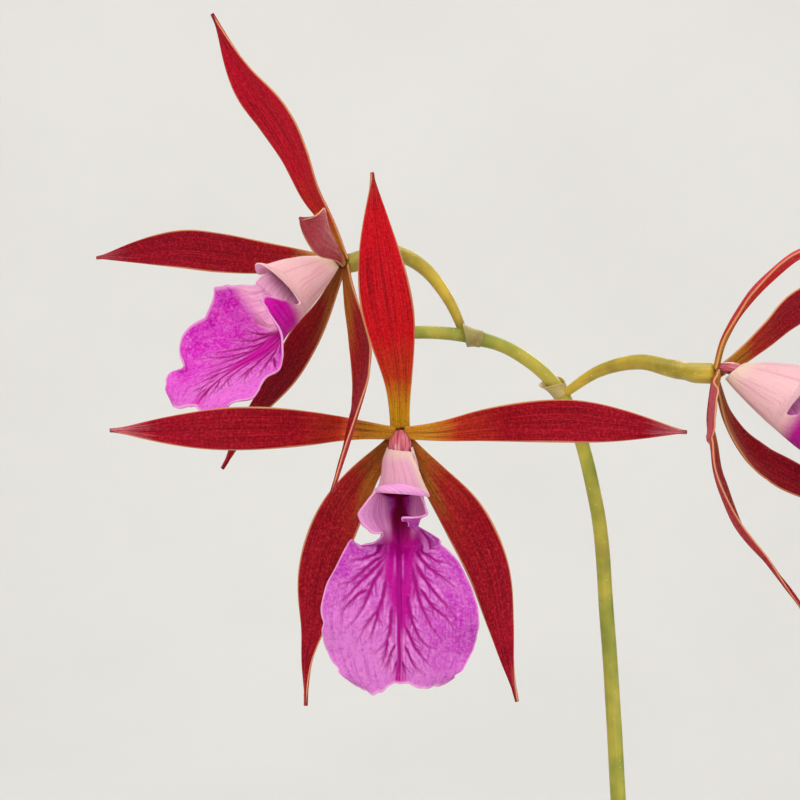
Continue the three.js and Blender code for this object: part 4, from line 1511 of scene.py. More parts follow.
@dataclass
class VeinTree:
    """Veins that leave the middle of a lip and branch towards its edge, on its flattened outline in mm."""

    seed: int
    samples: list[tuple[float, float, float, float]] = field(default_factory=list)
    step: float = 0.1
    midrib: tuple[float, float] = (9.0, 36.6)  # how far down it starts and ends
    midrib_steps: int = 300

    def _twig(
        self, draw: random.Random, at: tuple[float, float], heading: float, length: float, radius: float,
        strength: float, side: int,
    ) -> None:
        """Grows one thin vein.

        Args:
            draw: The stream of random numbers.
            at: Where it starts: how far from the middle and how far down.
            heading: Its direction in degrees off straight down, towards its own side.
            length: Its length.
            radius: Its radius where it starts.
            strength: How dark it starts.
            side: 1 or -1.
        """
        x, y = at
        steps = max(int(length / self.step), 2)
        for i in range(steps):
            t = i / steps
            heading += draw.gauss(0, 2.5)
            x += self.step * math.sin(math.radians(heading))
            y += self.step * math.cos(math.radians(heading))
            self.samples.append((side * x, y, lerp(radius, 0.12, t), strength * (1 - t**2)))

    def _vein(
        self, draw: random.Random, radius: float, stops: Sequence[tuple[float, float]], side: int
    ) -> None:
        """Grows one main vein with its twigs.

        Args:
            draw: The stream of random numbers.
            radius: Its radius where it starts.
            stops: The points that it passes.
            side: 1 or -1.
        """
        line = Midline([(x + draw.gauss(0, 0.12), y + draw.gauss(0, 0.12), 0) for x, y in stops])
        steps = int(line.length / self.step)
        forks = sorted(draw.randrange(steps // 5, steps) for _ in range(int(line.length * 1.4)))
        for i in range(steps):
            t = i / steps
            at = line.point_at(t)
            wobble = 0.09 * noise.noise(Vector((t * line.length * 0.9, radius * 40, side)))
            strength = 0.97 * (1 - 0.75 * t**3) * smoothstep(t, -0.05, 0.14)
            swelling = 1 + 0.4 * noise.noise(Vector((t * line.length * 2.2, radius * 60, side)))
            wide = lerp(radius * 1.2, 0.15, t**0.8) * swelling * lerp(0.35, 1, smoothstep(t, 0, 0.2))
            self.samples.append((side * (at.x + wobble), at.y - wobble, wide, strength))
            if i in forks:
                way = line.tangent_at(t)
                turn = (1 if draw.random() < 0.6 else -1) * draw.uniform(16, 34)
                heading = math.degrees(math.atan2(way.x, way.y)) + turn
                length = lerp(2.6, 1.2, t) * draw.uniform(0.7, 1.3)
                thin = lerp(radius, 0.11, t) * 0.7
                self._twig(draw, (at.x, at.y), heading, length, thin, strength * 0.8, side)

    def grow(self) -> KDTree:
        """Returns the veins as points to look up by place."""
        draw = random.Random(self.seed)
        for i in range(self.midrib_steps):
            t = i / self.midrib_steps
            y = lerp(*self.midrib, t)
            self.samples.append((0.05 * math.sin(y) - 0.1, y, lerp(0.42, 0.3, t), 1.0))
        for side, veins in VEINS.items():
            for radius, *stops in veins:
                self._vein(draw, radius, stops, side)
        tree = KDTree(len(self.samples))
        for index, (x, y, _, _) in enumerate(self.samples):
            tree.insert((x, y, 0), index)
        tree.balance()
        return tree


class Over(Enum):
    """The side whose rolled lobe lies outside the other, with the sign that mirrors the roll."""

    LEFT = 1
    RIGHT = -1


@dataclass(frozen=True)
class Edge:
    """One side of a lip's row: its half width, how far round it wraps, and where its margin stands."""

    wide: float
    wrap: float
    flare: float = 0  # out to the side
    lift: float = 0  # forward
    sweep: float = 0  # back towards the claw


@dataclass(frozen=True)
class Station:
    """A row of a lip: where its lowest point lies, its half height, and its outer and inner side."""

    forward: float
    drop: float
    high: float
    outer: Edge
    inner: Edge


def even(forward: float, drop: float, high: float, wide: float, wrap: float, sweep: float = 0) -> Station:
    """Returns a station whose two sides are the same."""
    edge = Edge(wide, wrap, sweep=sweep)
    return Station(forward, drop, high, edge, edge)


STATIONS = (
    Station(0.7, 1.9, 2.1, Edge(1.9, 215, -0.6, 0, -0.5), Edge(1.8, 110)),
    Station(0.5, 3.8, 2.8, Edge(2.5, 222, -0.5), Edge(2.4, 112)),
    Station(0.4, 6.4, 4.1, Edge(2.8, 232, -0.9), Edge(2.9, 112)),
    Station(0.4, 9.0, 5.2, Edge(3.6, 238, -1.3, 0, -0.9), Edge(3.4, 112)),
    Station(0.6, 10.1, 5.2, Edge(3.7, 112, 0.2, 0.3, 0.5), Edge(3.3, 120, 0.1, 0, 0.2)),
    Station(0.8, 11.9, 4.9, Edge(3.8, 98, 2.3, 0.9, -1.0), Edge(3.4, 100, 0.75, 0.5, -0.6)),
    Station(1.0, 13.4, 4.6, Edge(3.4, 96, 1.4, 0.4, -1.8), Edge(2.95, 165, -0.5, 0.3, -0.6)),
    Station(1.4, 15.1, 3.8, Edge(2.9, 100, -0.3, 0.2, -1.2), Edge(2.65, 150, -0.5, 0.3, 0)),
    Station(2.4, 17.1, 2.6, Edge(3.3, 80, 1.1, -0.6, -0.5), Edge(2.9, 140, -0.2, 0, 0.5)),
    Station(5.4, 18.8, 1.6, Edge(9.2, 52, 0, 0, 3.4), Edge(7.6, 52, 0, 0, 3.3)),
    Station(6.6, 21.2, 0.6, Edge(12.1, 50, 0, 0, 2.1), Edge(11.6, 50, 0, 0, 2.1)),
    Station(7.6, 24.6, -2.0, Edge(14.6, 50, 0, 0, 1.5), Edge(14.2, 50, 0, 0, 1.5)),
    even(8.6, 28.2, -3.6, 15.1, 50, 0.4),
    even(8.8, 31.6, -4.2, 14.3, 50, -0.1),
    even(8.7, 34.6, -4.2, 12.3, 50, -0.2),
    even(8.4, 36.8, -4.0, 9.2, 50, -0.3),
)


SIDE_STATIONS = (
    Station(0.7, 1.9, 1.9, Edge(1.8, 215, -0.6, 0, -0.5), Edge(1.7, 110)),
    Station(0.5, 4.2, 3.0, Edge(2.5, 222, -0.6), Edge(2.4, 112)),
    Station(0.4, 7.2, 4.2, Edge(3.2, 226, -0.6), Edge(3.1, 118)),
    Station(0.4, 10.6, 5.5, Edge(3.5, 222, -0.9, 0, -1.2), Edge(1.6, 128)),
    Station(0.5, 12.4, 5.7, Edge(3.4, 62, 0, 0, -0.1), Edge(0.7, 124, 0, 1.2, -1.8)),
    Station(0.6, 14.2, 5.2, Edge(3.7, 66, 0.2, 0.8, 0.2), Edge(1.4, 106, 0.8, 2.0, 0.6)),
    Station(0.8, 15.8, 4.6, Edge(3.9, 82, 0, 2.2, 0.2), Edge(3.4, 92, 1.6, 3.6, 1.6)),
    Station(1.0, 17.2, 4.0, Edge(3.8, 104, -1.6, 3.6, 0), Edge(5.8, 78, 2.2, 5.6, 2.4)),
    Station(1.2, 18.8, 3.0, Edge(4.2, 94, -1.4, 4.2, 0), Edge(9.6, 68, 1.6, 7.2, 2.6)),
    Station(1.6, 20.8, 2.0, Edge(5.6, 66, -0.6, 2.4, 0.8), Edge(15.0, 60, 0.6, 7.4, 2.6)),
    Station(2.4, 23.0, 1.4, Edge(8.2, 56, 0, 0.4, 0.6), Edge(17.4, 52, 0, 6.2, 1.8)),
    Station(3.6, 26.0, 0.6, Edge(11.0, 50, 0, -0.6, 0.4), Edge(17.2, 50, 0, 5.0, 0.6)),
    Station(4.8, 29.2, -0.6, Edge(12.6, 50, 0, -0.6, 0), Edge(15.4, 50, 0, 4.0, 0.2)),
    Station(5.6, 32.2, -1.4, Edge(12.8, 50), Edge(14.0, 50, 0, 2.8, -0.1)),
    Station(6.0, 35.0, -2.0, Edge(11.6, 50), Edge(12.0, 50, 0, 1.4, -0.2)),
    Station(6.0, 37.4, -2.0, Edge(8.8, 50), Edge(9.2, 50, 0, 0, -0.3)),
)


@dataclass
class Lip:
    """A lip, from its claw under the column, through the rolled side lobes, to the broad middle lobe."""

    over: Over
    across: int
    along: int
    yaw: float = 0
    pitch: float = 0
    twist: float = 0
    size: float = 1
    seed: int = 11
    thick: float = 0.3
    start: float = 0.57
    waves: float = 2.6
    depth: float = 0.8
    offset: float = 0.4
    scallops: tuple[float, float] = (1.6, 0.7)
    outside: float = 0.75  # how strong the flush is on the under side
    dents: tuple[tuple[int, float, float, float], ...] = ()  # side, place, depth in mm, half width
    stations: tuple[Station, ...] = STATIONS
    finish: LipFinish = LipFinish()

    def __post_init__(self) -> None:
        """Fits the lines through the stations."""
        self.line = Midline([(0, -s.forward, -s.drop) for s in self.stations])
        self.sections = {}
        self.margins = {}
        for side in ("outer", "inner"):
            edges = [getattr(s, side) for s in self.stations]
            rows = [(e.wide, s.high, e.wrap / WRAP_UNIT) for e, s in zip(edges, self.stations)]
            self.sections[side] = Midline(rows)
            self.margins[side] = Midline([(e.flare, e.lift, e.sweep) for e in edges])
        self.rows: dict[float, tuple] = {}
        turn = Matrix.Rotation(math.radians(self.yaw), 3, "Z")
        self.pose = turn @ Matrix.Rotation(-math.radians(self.pitch), 3, "X")

    def _row(self, v: float) -> tuple:
        """Returns what is the same across one row: its place, its frame and both its sides."""
        if v not in self.rows:
            along = self.line.tangent(v)
            turn = math.radians(self.twist) * smoothstep(v, 0.36, self.start + 0.05)
            sideways = Quaternion(along, turn) @ Vector((1, 0, 0))
            sides = {
                side: (*section.point(v), *self.margins[side].point(v))
                for side, section in self.sections.items()
            }
            self.rows[v] = (self.line.point(v), along, sideways, along.cross(sideways), sides)
        return self.rows[v]

    def _scallop(self, u: float, v: float) -> float:
        """Returns how far the end reaches past its middle."""
        return self.scallops[0 if u < 0 else 1] * smoothstep(v, 0.85, 1) * math.sin(math.pi * u) ** 2

    def place(self, across: float, v: float) -> Vector:
        """Returns a point of the lip, before it is turned as its bloom holds it."""
        hand = self.over.value
        u = hand * across
        at, along, sideways, forward, sides = self._row(v)
        wide, high, wrap, flare, lift, sweep = sides["outer" if u < 0 else "inner"]
        wrap *= WRAP_UNIT
        spread = smoothstep(v, self.start - 0.05, self.start + 0.15)
        aside = abs(u)
        angle = math.radians(aside * wrap)
        phase = 2 * math.pi * self.waves * (v - self.start) / (1 - self.start)
        lag = self.offset if u < 0 else 0.0
        wave = self.depth * spread * aside**3 * math.sin(phase - lag)
        edge = smoothstep(aside, 0.6, 1.0) * smoothstep(v, self.start - 0.02, self.start + 0.1)
        frill = 0.22 * edge * math.sin(31 * v + 6 * u + self.seed) + 0.3 * edge * noise.noise(
            Vector((u * 3, v * 14, self.seed))
        )
        rolled = smoothstep(aside, 0.7, 1.0) * smoothstep(v, 0.27, 0.32) * (1 - smoothstep(v, 0.5, 0.58))
        fringe = (0.25 * edge + 0.35 * rolled) * noise.noise(Vector((v * 30, u * 2, self.seed + 0.5)))
        end = 0.3 * smoothstep(v, 0.93, 1) * noise.noise(Vector((u * 9, 0.2, self.seed + 2.5)))
        furrows = 0.05 * math.cos(26 * u) * smoothstep(v, 0.45, 0.6) * (1 - 0.6 * aside)
        midrib = -0.16 * math.exp(-((u / 0.05) ** 2)) * smoothstep(v, 0.3, 0.45)
        dent = sum(
            deep * math.exp(-(((v - down) / half) ** 2)) * smoothstep(aside, 0.7, 1)
            for side, down, deep, half in self.dents
            if side * u > 0
        )
        x = wide * math.sin(angle) + flare * aside**3 + fringe - dent
        z = high * (1 - math.cos(angle)) + lift * aside**3 + wave + frill + furrows + midrib
        x = math.copysign(1, across) * x if across else 0.0
        return at + sideways * x + forward * z + along * (self._scallop(u, v) - sweep * aside * aside + end)

    def _flat(self, u: float, v: float) -> tuple[float, float]:
        """Returns a point of the flattened outline: how far it lies aside and how far down, in mm."""
        wide, _, wrap, flare, _, sweep = self._row(v)[4]["outer" if u < 0 else "inner"]
        flattest = 89  # degrees, past which the rolled part would fold back
        reach = wide * math.sin(math.radians(u * min(wrap * WRAP_UNIT, flattest))) + flare * u**3
        return reach, self._down(v) - sweep * u * u + self._scallop(u, v)

    def _down(self, v: float) -> float:
        """Returns how far down the claw, tube and middle lobe a row lies, in mm."""
        place = clamp(v) * (len(self.stations) - 1)
        index = min(int(place), len(self.stations) - 2)
        return lerp(self.stations[index].drop, self.stations[index + 1].drop, place - index)

    def _vein(
        self, tree: KDTree, samples: list[tuple[float, float, float, float]], x: float, y: float
    ) -> tuple[float, float]:
        """Looks up the veins at a point of the flattened outline.

        Args:
            tree: The veins' points.
            samples: The place, radius and strength of each of them.
            x: How far the point lies from the middle, in mm.
            y: How far down it lies, in mm.

        Returns:
            How dark the veins are there, and how high the skin swells beside them, where a painted highlight
            is also laid.
        """
        dark = swell = 0.0
        for _, index, distance in tree.find_n((x, y, 0), 10):
            _, _, radius, strength = samples[index]
            dark = max(dark, strength * (1 - smoothstep(distance, radius * 0.3, radius * 1.3)))
            swell = max(swell, strength * math.exp(-(((distance - 2.1 * radius) / (0.8 * radius)) ** 2)))
        return dark, swell * (1 - dark) * (0.6 + 0.8 * noise.noise(Vector((x * 1.3, y * 1.3, 5.1))))

    @staticmethod
    def _flush(x: float, y: float) -> float:
        """Returns how strong the magenta fan down the middle is."""
        wide = lerp(0.9, 2.8, smoothstep(y, 10.5, 14)) - 1.6 * smoothstep(y, 20, 28)
        width = wide + 0.5 * noise.noise(Vector((x * 1.4, y * 0.5, 2.2)))
        strength = 1 - 0.75 * smoothstep(y, 26, 31) + 0.35 * smoothstep(y, 32, 36)
        rays = 0.8 * noise.noise(Vector((x * 3.2, y * 0.2, 4.4)))
        fan = math.exp(-((x / width) ** 4)) * clamp(strength + rays * smoothstep(y, 19, 24))
        streaks = 0.0
        for at, high, low in STREAKS:
            run = smoothstep(y, high, high + 1.5) * (1 - smoothstep(y, low - 2, low))
            streaks = max(streaks, run * math.exp(-(((x - at) / 0.17) ** 2)))
        return clamp(fan * (1 - 0.6 * streaks))

    @staticmethod
    def _wash(x: float, y: float) -> float:
        """Returns how pale the middle lobe is, which is most in the lower corner of one side."""
        return smoothstep(y - 0.6 * x + 2.5 * noise.noise(Vector((x * 0.2, y * 0.2, 7.7))), 25, 36)

    def build(self, bloom: str, hub: Vector) -> None:
        """Makes the lip.

        Args:
            bloom: The name of the bloom that it belongs to.
            hub: The place of the bloom's hub, in mm.
        """
        veins = VeinTree(self.seed)
        tree = veins.grow()

        def marks(across: float, v: float, upper: bool) -> dict[str, float]:
            """Returns the colours' shares at a vertex."""
            u = self.over.value * across
            x, y = self._flat(u, v)
            inside = not upper  # the grid's under side is the one that the lip shows
            hood = 1 - smoothstep(v, 0.2, 0.25)
            mouth = smoothstep(v, 0.26, 0.44)
            dark_to, pale_from = lerp(0.02 + 0.18 * mouth, 0.4, hood), lerp(0.16 + 0.2 * mouth, 0.75, hood)
            inner = 1 - smoothstep(abs(u), dark_to, pale_from)
            lobe = smoothstep(v, 0.42, 0.54)
            edge = min(1 - abs(u), (1 - v) * 2.2)
            shown = smoothstep(v, 0.3, 0.42) * smoothstep(edge, 0.04, 0.18)
            # ridge is the swelling beside the veins: a raised relief that also carries a painted highlight
            vein, ridge = (share * shown for share in self._vein(tree, veins.samples, x, y))
            flush = self._flush(x, y) * smoothstep(v, 0.1, 0.3)
            throat = inner * (1 - smoothstep(v, 0.34, 0.62))
            tube = 0.6 * (1 - lobe) * smoothstep(abs(u), 0.2, 0.5) if inside else 1 - smoothstep(v, 0.27, 0.4)
            hood_edge = smoothstep(abs(u), 0.9, 0.99) * (1 - smoothstep(v, 0.2, 0.3))
            # fold is painted light: it paints the insides of the rolled side lobes pale where they lie in
            # shade
            fold = 0.9 * smoothstep(abs(u), 0.18, 0.42) * (1 - smoothstep(v, 0.4, 0.52)) if inside else 0.0
            cream = clamp(0.7 * (1 - smoothstep(v, 0.0, 0.1)) + hood_edge)
            margin = 0.75 * (1 - smoothstep(edge, 0.008, 0.035)) * smoothstep(v, 0.3, 0.5)
            return {
                "vein": vein * (1.0 if inside else 0.4),
                # painted highlight beside the veins, and their relief
                "ridge": clamp(ridge) if inside else 0.0,
                # painted light on the shaded side lobes
                "fold": fold,
                "flush": flush if inside else self.outside * (1 - smoothstep(v, 0.5, 0.75)),
                "throat": throat if inside else 0.0,
                "wash": self._wash(x, y),
                "tube": tube,
                "cream": cream,
                "margin": margin,
            }

        weave = Weave(self.across, self.along, lambda a, v: hub + self.pose @ (self.place(a, v) * self.size))
        name = f"{bloom}_bloom_lip"
        hand_over(weave.blade(lambda u, v: self.thick, marks), name, self.finish.material(), [name])

    def column(self, bloom: str, hub: Vector) -> None:
        """Makes the column, which lies along the inside of the rolled lip and ends in a cap.

        Args:
            bloom: The name of the bloom that it belongs to.
            hub: The place of the bloom's hub, in mm.
        """
        stops = [(0.9, -0.2), (2.4, 1.5), (3.6, 3.8), (5.2, 6.2), (7.2, 8.2)]
        line = Midline([hub + self.pose @ (Vector((0, -f, -d)) * self.size) for f, d in stops])

        def radii(share: float, angle: float) -> float:
            """Returns the radius of the winged oval section."""
            swell = smoothstep(share, 0.0, 0.2) * (1 - smoothstep(share, 0.25, 0.5))
            wide = (lerp(0.85, 1.25, share * share) + 0.8 * swell) * self.size
            high = (lerp(0.65, 0.95, share * share) + 0.3 * swell) * self.size
            oval = 1 / math.hypot(math.sin(angle) / wide, math.cos(angle) / high)
            wings = 1 + 0.14 * smoothstep(share, 0.45, 0.8) * abs(math.sin(angle)) ** 6
            waist = 1 - 0.16 * math.exp(-(((share - 0.86) / 0.025) ** 2))
            return oval * wings * waist * rounded(share, line.length, 0.3, 0.9)

        bm = limb(line, radii, 40, 70, self.pose @ Vector((0, -1, 1)))
        name = f"{bloom}_bloom_column"
        hand_over(bm, name, ColumnFinish().material(), [name])


@dataclass
class Bloom:
    """One bloom: its stalk, five sepals and petals, a lip and a column."""

    name: str
    place: tuple[float, float, float]
    face: Vector
    stalk: list[tuple[float, float, float]]
    stalk_side: Vector
    lip: Lip
    tepals: list[Tepal]
    stalk_root: float = 0.65

    @property
    def hub(self) -> Vector:
        """Returns the place of the hub."""
        return HUB + Vector(self.place)

    def _stalk(self) -> None:
        """Makes the stalk, which swells towards the hub and has six faint ridges."""
        hub = self.hub
        line = Midline([hub + self.face * 0.4, hub - self.face, *(hub + Vector(p) for p in self.stalk)])
        head = 0.12

        def radii(share: float, angle: float) -> float:
            """Returns the ridged radius."""
            left = 1.0 if share < head else ((1 - share) / (1 - head)) ** 0.9
            ridge = 1 + 0.06 * left * math.cos(6 * angle + 5 * share)
            neck = 1 - 0.12 * math.exp(-(((share - 0.16) / 0.04) ** 2))
            plain = lerp(self.stalk_root, HUB_RADIUS, left)
            return plain * ridge * neck * rounded(share, line.length, 0.9, 0.0)

        finish = StemFinish("stalk", young=dye(196, 168, 50), green=dye(140, 126, 34), flushed=0.3)
        bm = limb(line, radii, 36, 110, self.stalk_side)
        hand_over(bm, f"{self.name}_bloom_stalk", finish.material(), ["flower_stem"])

    def build(self) -> None:
        """Makes the whole bloom."""
        self._stalk()
        for tepal in self.tepals:
            tepal.build(self.name, self.hub, self.face)
        self.lip.build(self.name, self.hub)
        self.lip.column(self.name, self.hub)


FRONT_BLOOM = Bloom(
    name="front",
    place=(0, 0, 0),
    face=AHEAD,
    stalk=[(0, 6, 0.4), (0.3, 12, 2.6), (0.8, 16, 8.1), (1.2, 17, 14)],
    stalk_side=Vector((1, 0, 0)),
    lip=Lip(
        Over.LEFT, across=160, along=286, seed=11, outside=0.15,
        dents=((1, 0.62, 0.35, 0.01), (-1, 0.93, 0.5, 0.012), (1, 0.955, 0.5, 0.012), (-1, 0.8, 0.25, 0.01)),
    ),
    tepals=[
        Tepal(
            "dorsal_sepal", Outlines.DORSAL, 0,
            [(-0.3, -3, 7.9), (-1.2, -6.5, 14.6), (-2.3, -10.5, 21.1), (-3.3, -15, 28.9), (-4, -19, 37.6)],
        ),
        Tepal(
            "right_petal", Outlines.PETAL, 90,
            [(6, -2.5, 0.3), (13.3, -6, 1.3), (23.4, -10.5, 1.9), (31.9, -14.5, 1.3), (41.3, -18, 0.3)],
        ),
        Tepal(
            "left_petal", Outlines.PETAL, -90,
            [
                (-7.4, -3, 0.6), (-14.8, -8.5, 0.8), (-23.3, -14.5, 0.8), (-31.7, -18.5, 0.6),
                (-41.5, -21, 0.6),
            ],
        ),
        Tepal(
            "right_sepal", Outlines.SEPAL, 140,
            [
                (5.1, -0.5, -6.7), (9.5, -1.5, -12.7), (13.1, -3, -20.2), (14.9, -4.5, -28.2),
                (16, -6, -34), (17.3, -7, -39.6),
            ],
        ),
        Tepal(
            "left_sepal", Outlines.SEPAL, -140,
            [
                (-5.8, -0.5, -7), (-9.5, -1.5, -13.5), (-12.1, -3, -21.6), (-12.8, -4.5, -28.8),
                (-13.7, -6, -34.1), (-13.9, -7, -40.2),
            ],
            looks=((0, -1, 0), (-0.7, -0.7, 0)),
        ),
    ],
)

LEFT_BLOOM = Bloom(
    name="left",
    place=(-8.4, 8, 25.9),
    face=LEFTWARD,
    stalk=[(3.5, 3, 0.9), (8.1, 9, 1.8), (12.4, 12, -0.5), (16, 12.2, -5.2), (18.6, 12, -10.9)],
    stalk_side=Vector((0, 1, 0)),
    lip=Lip(
        Over.RIGHT, across=120, along=214, yaw=-57, pitch=41, twist=-10, size=0.9, seed=23,
        stations=SIDE_STATIONS,
        finish=LipFinish(
            "left lip", ground=dye(194, 22, 172), pale=dye(216, 108, 200), deep=dye(164, 0, 140),
            vein=dye(146, 0, 104), flush=dye(190, 0, 150), tube=dye(232, 186, 188),
            # fold is the painted light on the shaded side lobes
            tube_line=dye(206, 122, 160), cream=dye(236, 214, 186), fold=dye(250, 196, 224),
        ),
        dents=((1, 0.85, 2.3, 0.02), (1, 0.7, 0.5, 0.012), (1, 0.94, 0.5, 0.012)),
    ),
    tepals=[
        Tepal(
            "dorsal_sepal", Outlines.DORSAL, 9,
            [
                (-2.4, -2.5, 6.1), (-4.8, -4.5, 10.5), (-7.1, -6.5, 16), (-10.3, -8.5, 21.5),
                (-14.8, -11, 27.4), (-19.4, -14, 36.2),
            ],
            looks=((-0.8, -0.6, 0), (-0.58, -0.81, 0)),
            tone=Tone.SIDE_DORSAL,
        ),
        Tepal(
            "far_petal", Outlines.PETAL, -85,
            [
                (-7, 5, 0.7), (-13.8, 10.5, 1.4), (-20, 15, 2.3), (-25.1, 18.5, 3), (-31.6, 22, 2.9),
                (-40.5, 26, 2),
            ],
            tone=Tone.SIDE_BLADE,
        ),
        Tepal(
            "near_petal", Outlines.PETAL, 75,
            [(-1.5, -9, 2), (-2.6, -19, 3.1), (-3.4, -30, 3.9), (-5.5, -39, 4.4)],
            looks=((-0.86, -0.51, 0), (-0.45, -0.5, 0.75)),
            tone=Tone.SIDE_BLADE,
        ),
        Tepal(
            "near_sepal", Outlines.SEPAL, 143,
            [
                (1.1, -2, -5.7), (2.4, -4.5, -10.6), (3.3, -7.5, -15.2), (3, -11.5, -19.1),
                (2, -15, -22.7), (0.6, -18, -27.6), (-1.5, -20.7, -34.4),
            ],
            looks=((-0.86, -0.51, 0), (-0.95, -0.3, 0)),
        ),
        Tepal(
            "far_sepal", Outlines.SEPAL, -143,
            [
                (-3.6, 3, -8.3), (-6.3, 5, -12.4), (-9.1, 7, -16.6), (-12.2, 9, -20.6),
                (-15.8, 11, -25.6), (-19.5, 13, -31.7),
            ],
        ),
    ],
)

RIGHT_BLOOM = Bloom(
    name="right",
    place=(47.3, 2, 9),
    face=RIGHTWARD,
    stalk=[(-3, 1, 0.1), (-6.2, 5, 0.8), (-10.3, 10, 1.8), (-16.1, 16, 0.5), (-21.7, 22, -3.3)],
    stalk_side=Vector((0, 0, 1)),
    lip=Lip(
        Over.LEFT, across=100, along=180, yaw=75, pitch=46, twist=10, seed=37, stations=SIDE_STATIONS,
        finish=LipFinish(
            "right lip", tube=dye(226, 182, 186), tube_line=dye(196, 112, 152), cream=dye(228, 206, 182)
        ),
    ),
    tepals=[
        Tepal(
            "dorsal_sepal", Outlines.DORSAL, -10,
            [
                (1.2, -1, 4.8), (3.4, -2, 9.1), (6.1, -3, 13), (11.4, -5, 17.7), (15.1, -6, 18.8),
                (20.9, -7, 19.1), (27.4, -8, 18.1), (32.1, -9, 16.6),
            ],
            looks=((0.97, -0.26, 0), (0.3, -0.2, -0.9)),
        ),
        Tepal(
            "far_petal", Outlines.PETAL, 65,
            [(4.8, 5, 2.9), (8.5, 9, 5.9), (12.2, 13, 9.1), (15.1, 16, 10.9), (22.2, 22, 14.9), (33, 30, 20)],
        ),
        Tepal(
            "near_petal", Outlines.PETAL, -108,
            [(-1.2, -9, -3.3), (-2.3, -18, -5.5), (-3.5, -28, -7.6), (-4.7, -38, -9.6)],
            looks=((0.97, -0.26, 0), (0.8, -0.3, -0.5)),
        ),
        Tepal(
            "near_sepal", Outlines.SEPAL, -148,
            [
                (-1, -2.4, -7.1), (-0.6, -3.4, -11), (-0.2, -5, -15.1), (2.3, -8, -22.4),
                (6.8, -10.5, -28.1), (9.5, -12, -31.6), (13.3, -14, -36.9),
            ],
        ),
        Tepal(
            "far_sepal", Outlines.SEPAL, 140,
            [
                (2.3, 3, -7.1), (5.1, 5, -11.4), (8.7, 6.5, -14.1), (13.9, 8, -16.8),
                (20.3, 9.5, -20.2), (27.5, 11, -27.2),
            ],
        ),
    ],
)


@dataclass
class FlowerStem:
    """The stem, which rises from the lead bulb and arches over above the blooms."""

    base: float = 1.7
    tip: float = 1.0
    sheaths: tuple[float, ...] = (0.16, 0.34, 0.52)
    sheath_length: float = 15
    bracts: tuple[float, ...] = (0.885, 0.945)
    bract_length: float = 3.6
    arch: tuple[tuple[float, float, float], ...] = (
        (35, 31, -59.2),
        (33, 28, -30),
        (31, 25.5, -11),
        (25.6, 24, 5.7),
        (18.1, 22, 12.5),
        (10.2, 20, 15),
        (1.2, 17.4, 15.4),
        (-1.5, 16.6, 14.6),
    )

    def midline(self) -> Midline:
        """Returns the stem's midline."""
        lead = BULBS[3]
        foot = Vector((lead.x, lead.y, lead.foot + lead.height + GAP))
        low = [foot, foot + Vector((0.6, -2.5, 55)), foot + Vector((-3, -9, 118))]
        return Midline([*low, *(HUB + Vector(p) for p in self.arch)])

    def girth(self, share: float) -> float:
        """Returns the plain radius at a share of the length."""
        return lerp(self.base, self.tip, share)

    def _sleeve(self, name: str, line: Midline, start: float, long: float, proud: float, turn: float) -> None:
        """Makes one sheath or bract: a pointed sleeve, split on one side.

        Args:
            name: The piece's name.
            line: The stem's midline.
            start: The share of the stem's length at which it starts.
            long: Its length in mm.
            proud: How far its point stands off the stem.
            turn: The angle of its point round the stem, in radians.
        """

        def place(u: float, v: float) -> Vector:
            """Returns a point of the sleeve."""
            pointed = 1 - 0.62 * abs(u) ** 1.3
            share = start + v * pointed * long / line.length
            at, across, normal = line.frame_at(share, AHEAD)
            angle = turn + math.radians(176) * u
            reach = self.girth(share) + 0.18 + proud * v**2.2 * (1 - 0.5 * abs(u))
            return at + (across * math.sin(angle) + normal * math.cos(angle)) * reach

        finish = StemFinish(
            "sheath", young=dye(196, 176, 112), green=dye(146, 136, 74), brown=dye(126, 84, 50), flushed=0.6
        )
        bm = Weave(48, 24, place).blade(lambda u, v: lerp(0.3, 0.16, v))
        hand_over(bm, name, finish.material(), ["flower_stem"])

    def build(self) -> None:
        """Makes the stem, its sheaths and its bracts."""
        line = self.midline()

        def radii(share: float, angle: float) -> float:
            """Returns the radius, swollen at each joint."""
            joints = (*self.sheaths, *self.bracts)
            swell = sum(math.exp(-(((share - joint) / 0.006) ** 2)) for joint in joints)
            uneven = 0.04 * noise.noise(Vector((share * 30, math.sin(angle), math.cos(angle))))
            return self.girth(share) * (1 + 0.14 * swell + uneven) * rounded(share, line.length, 0.8, 0.8)

        axis = limb(line, radii, 32, 260, AHEAD)
        hand_over(axis, "flower_stem_axis", StemFinish().material(), ["flower_stem"])
        for index, start in enumerate(self.sheaths, 1):
            self._sleeve(f"stem_sheath_{index}", line, start, self.sheath_length, 0.8, 2.4 * index)
        for index, start in enumerate(self.bracts, 1):
            self._sleeve(f"stem_bract_{index}", line, start, self.bract_length, 0.7, 1.2 + 3 * index)


# The studio


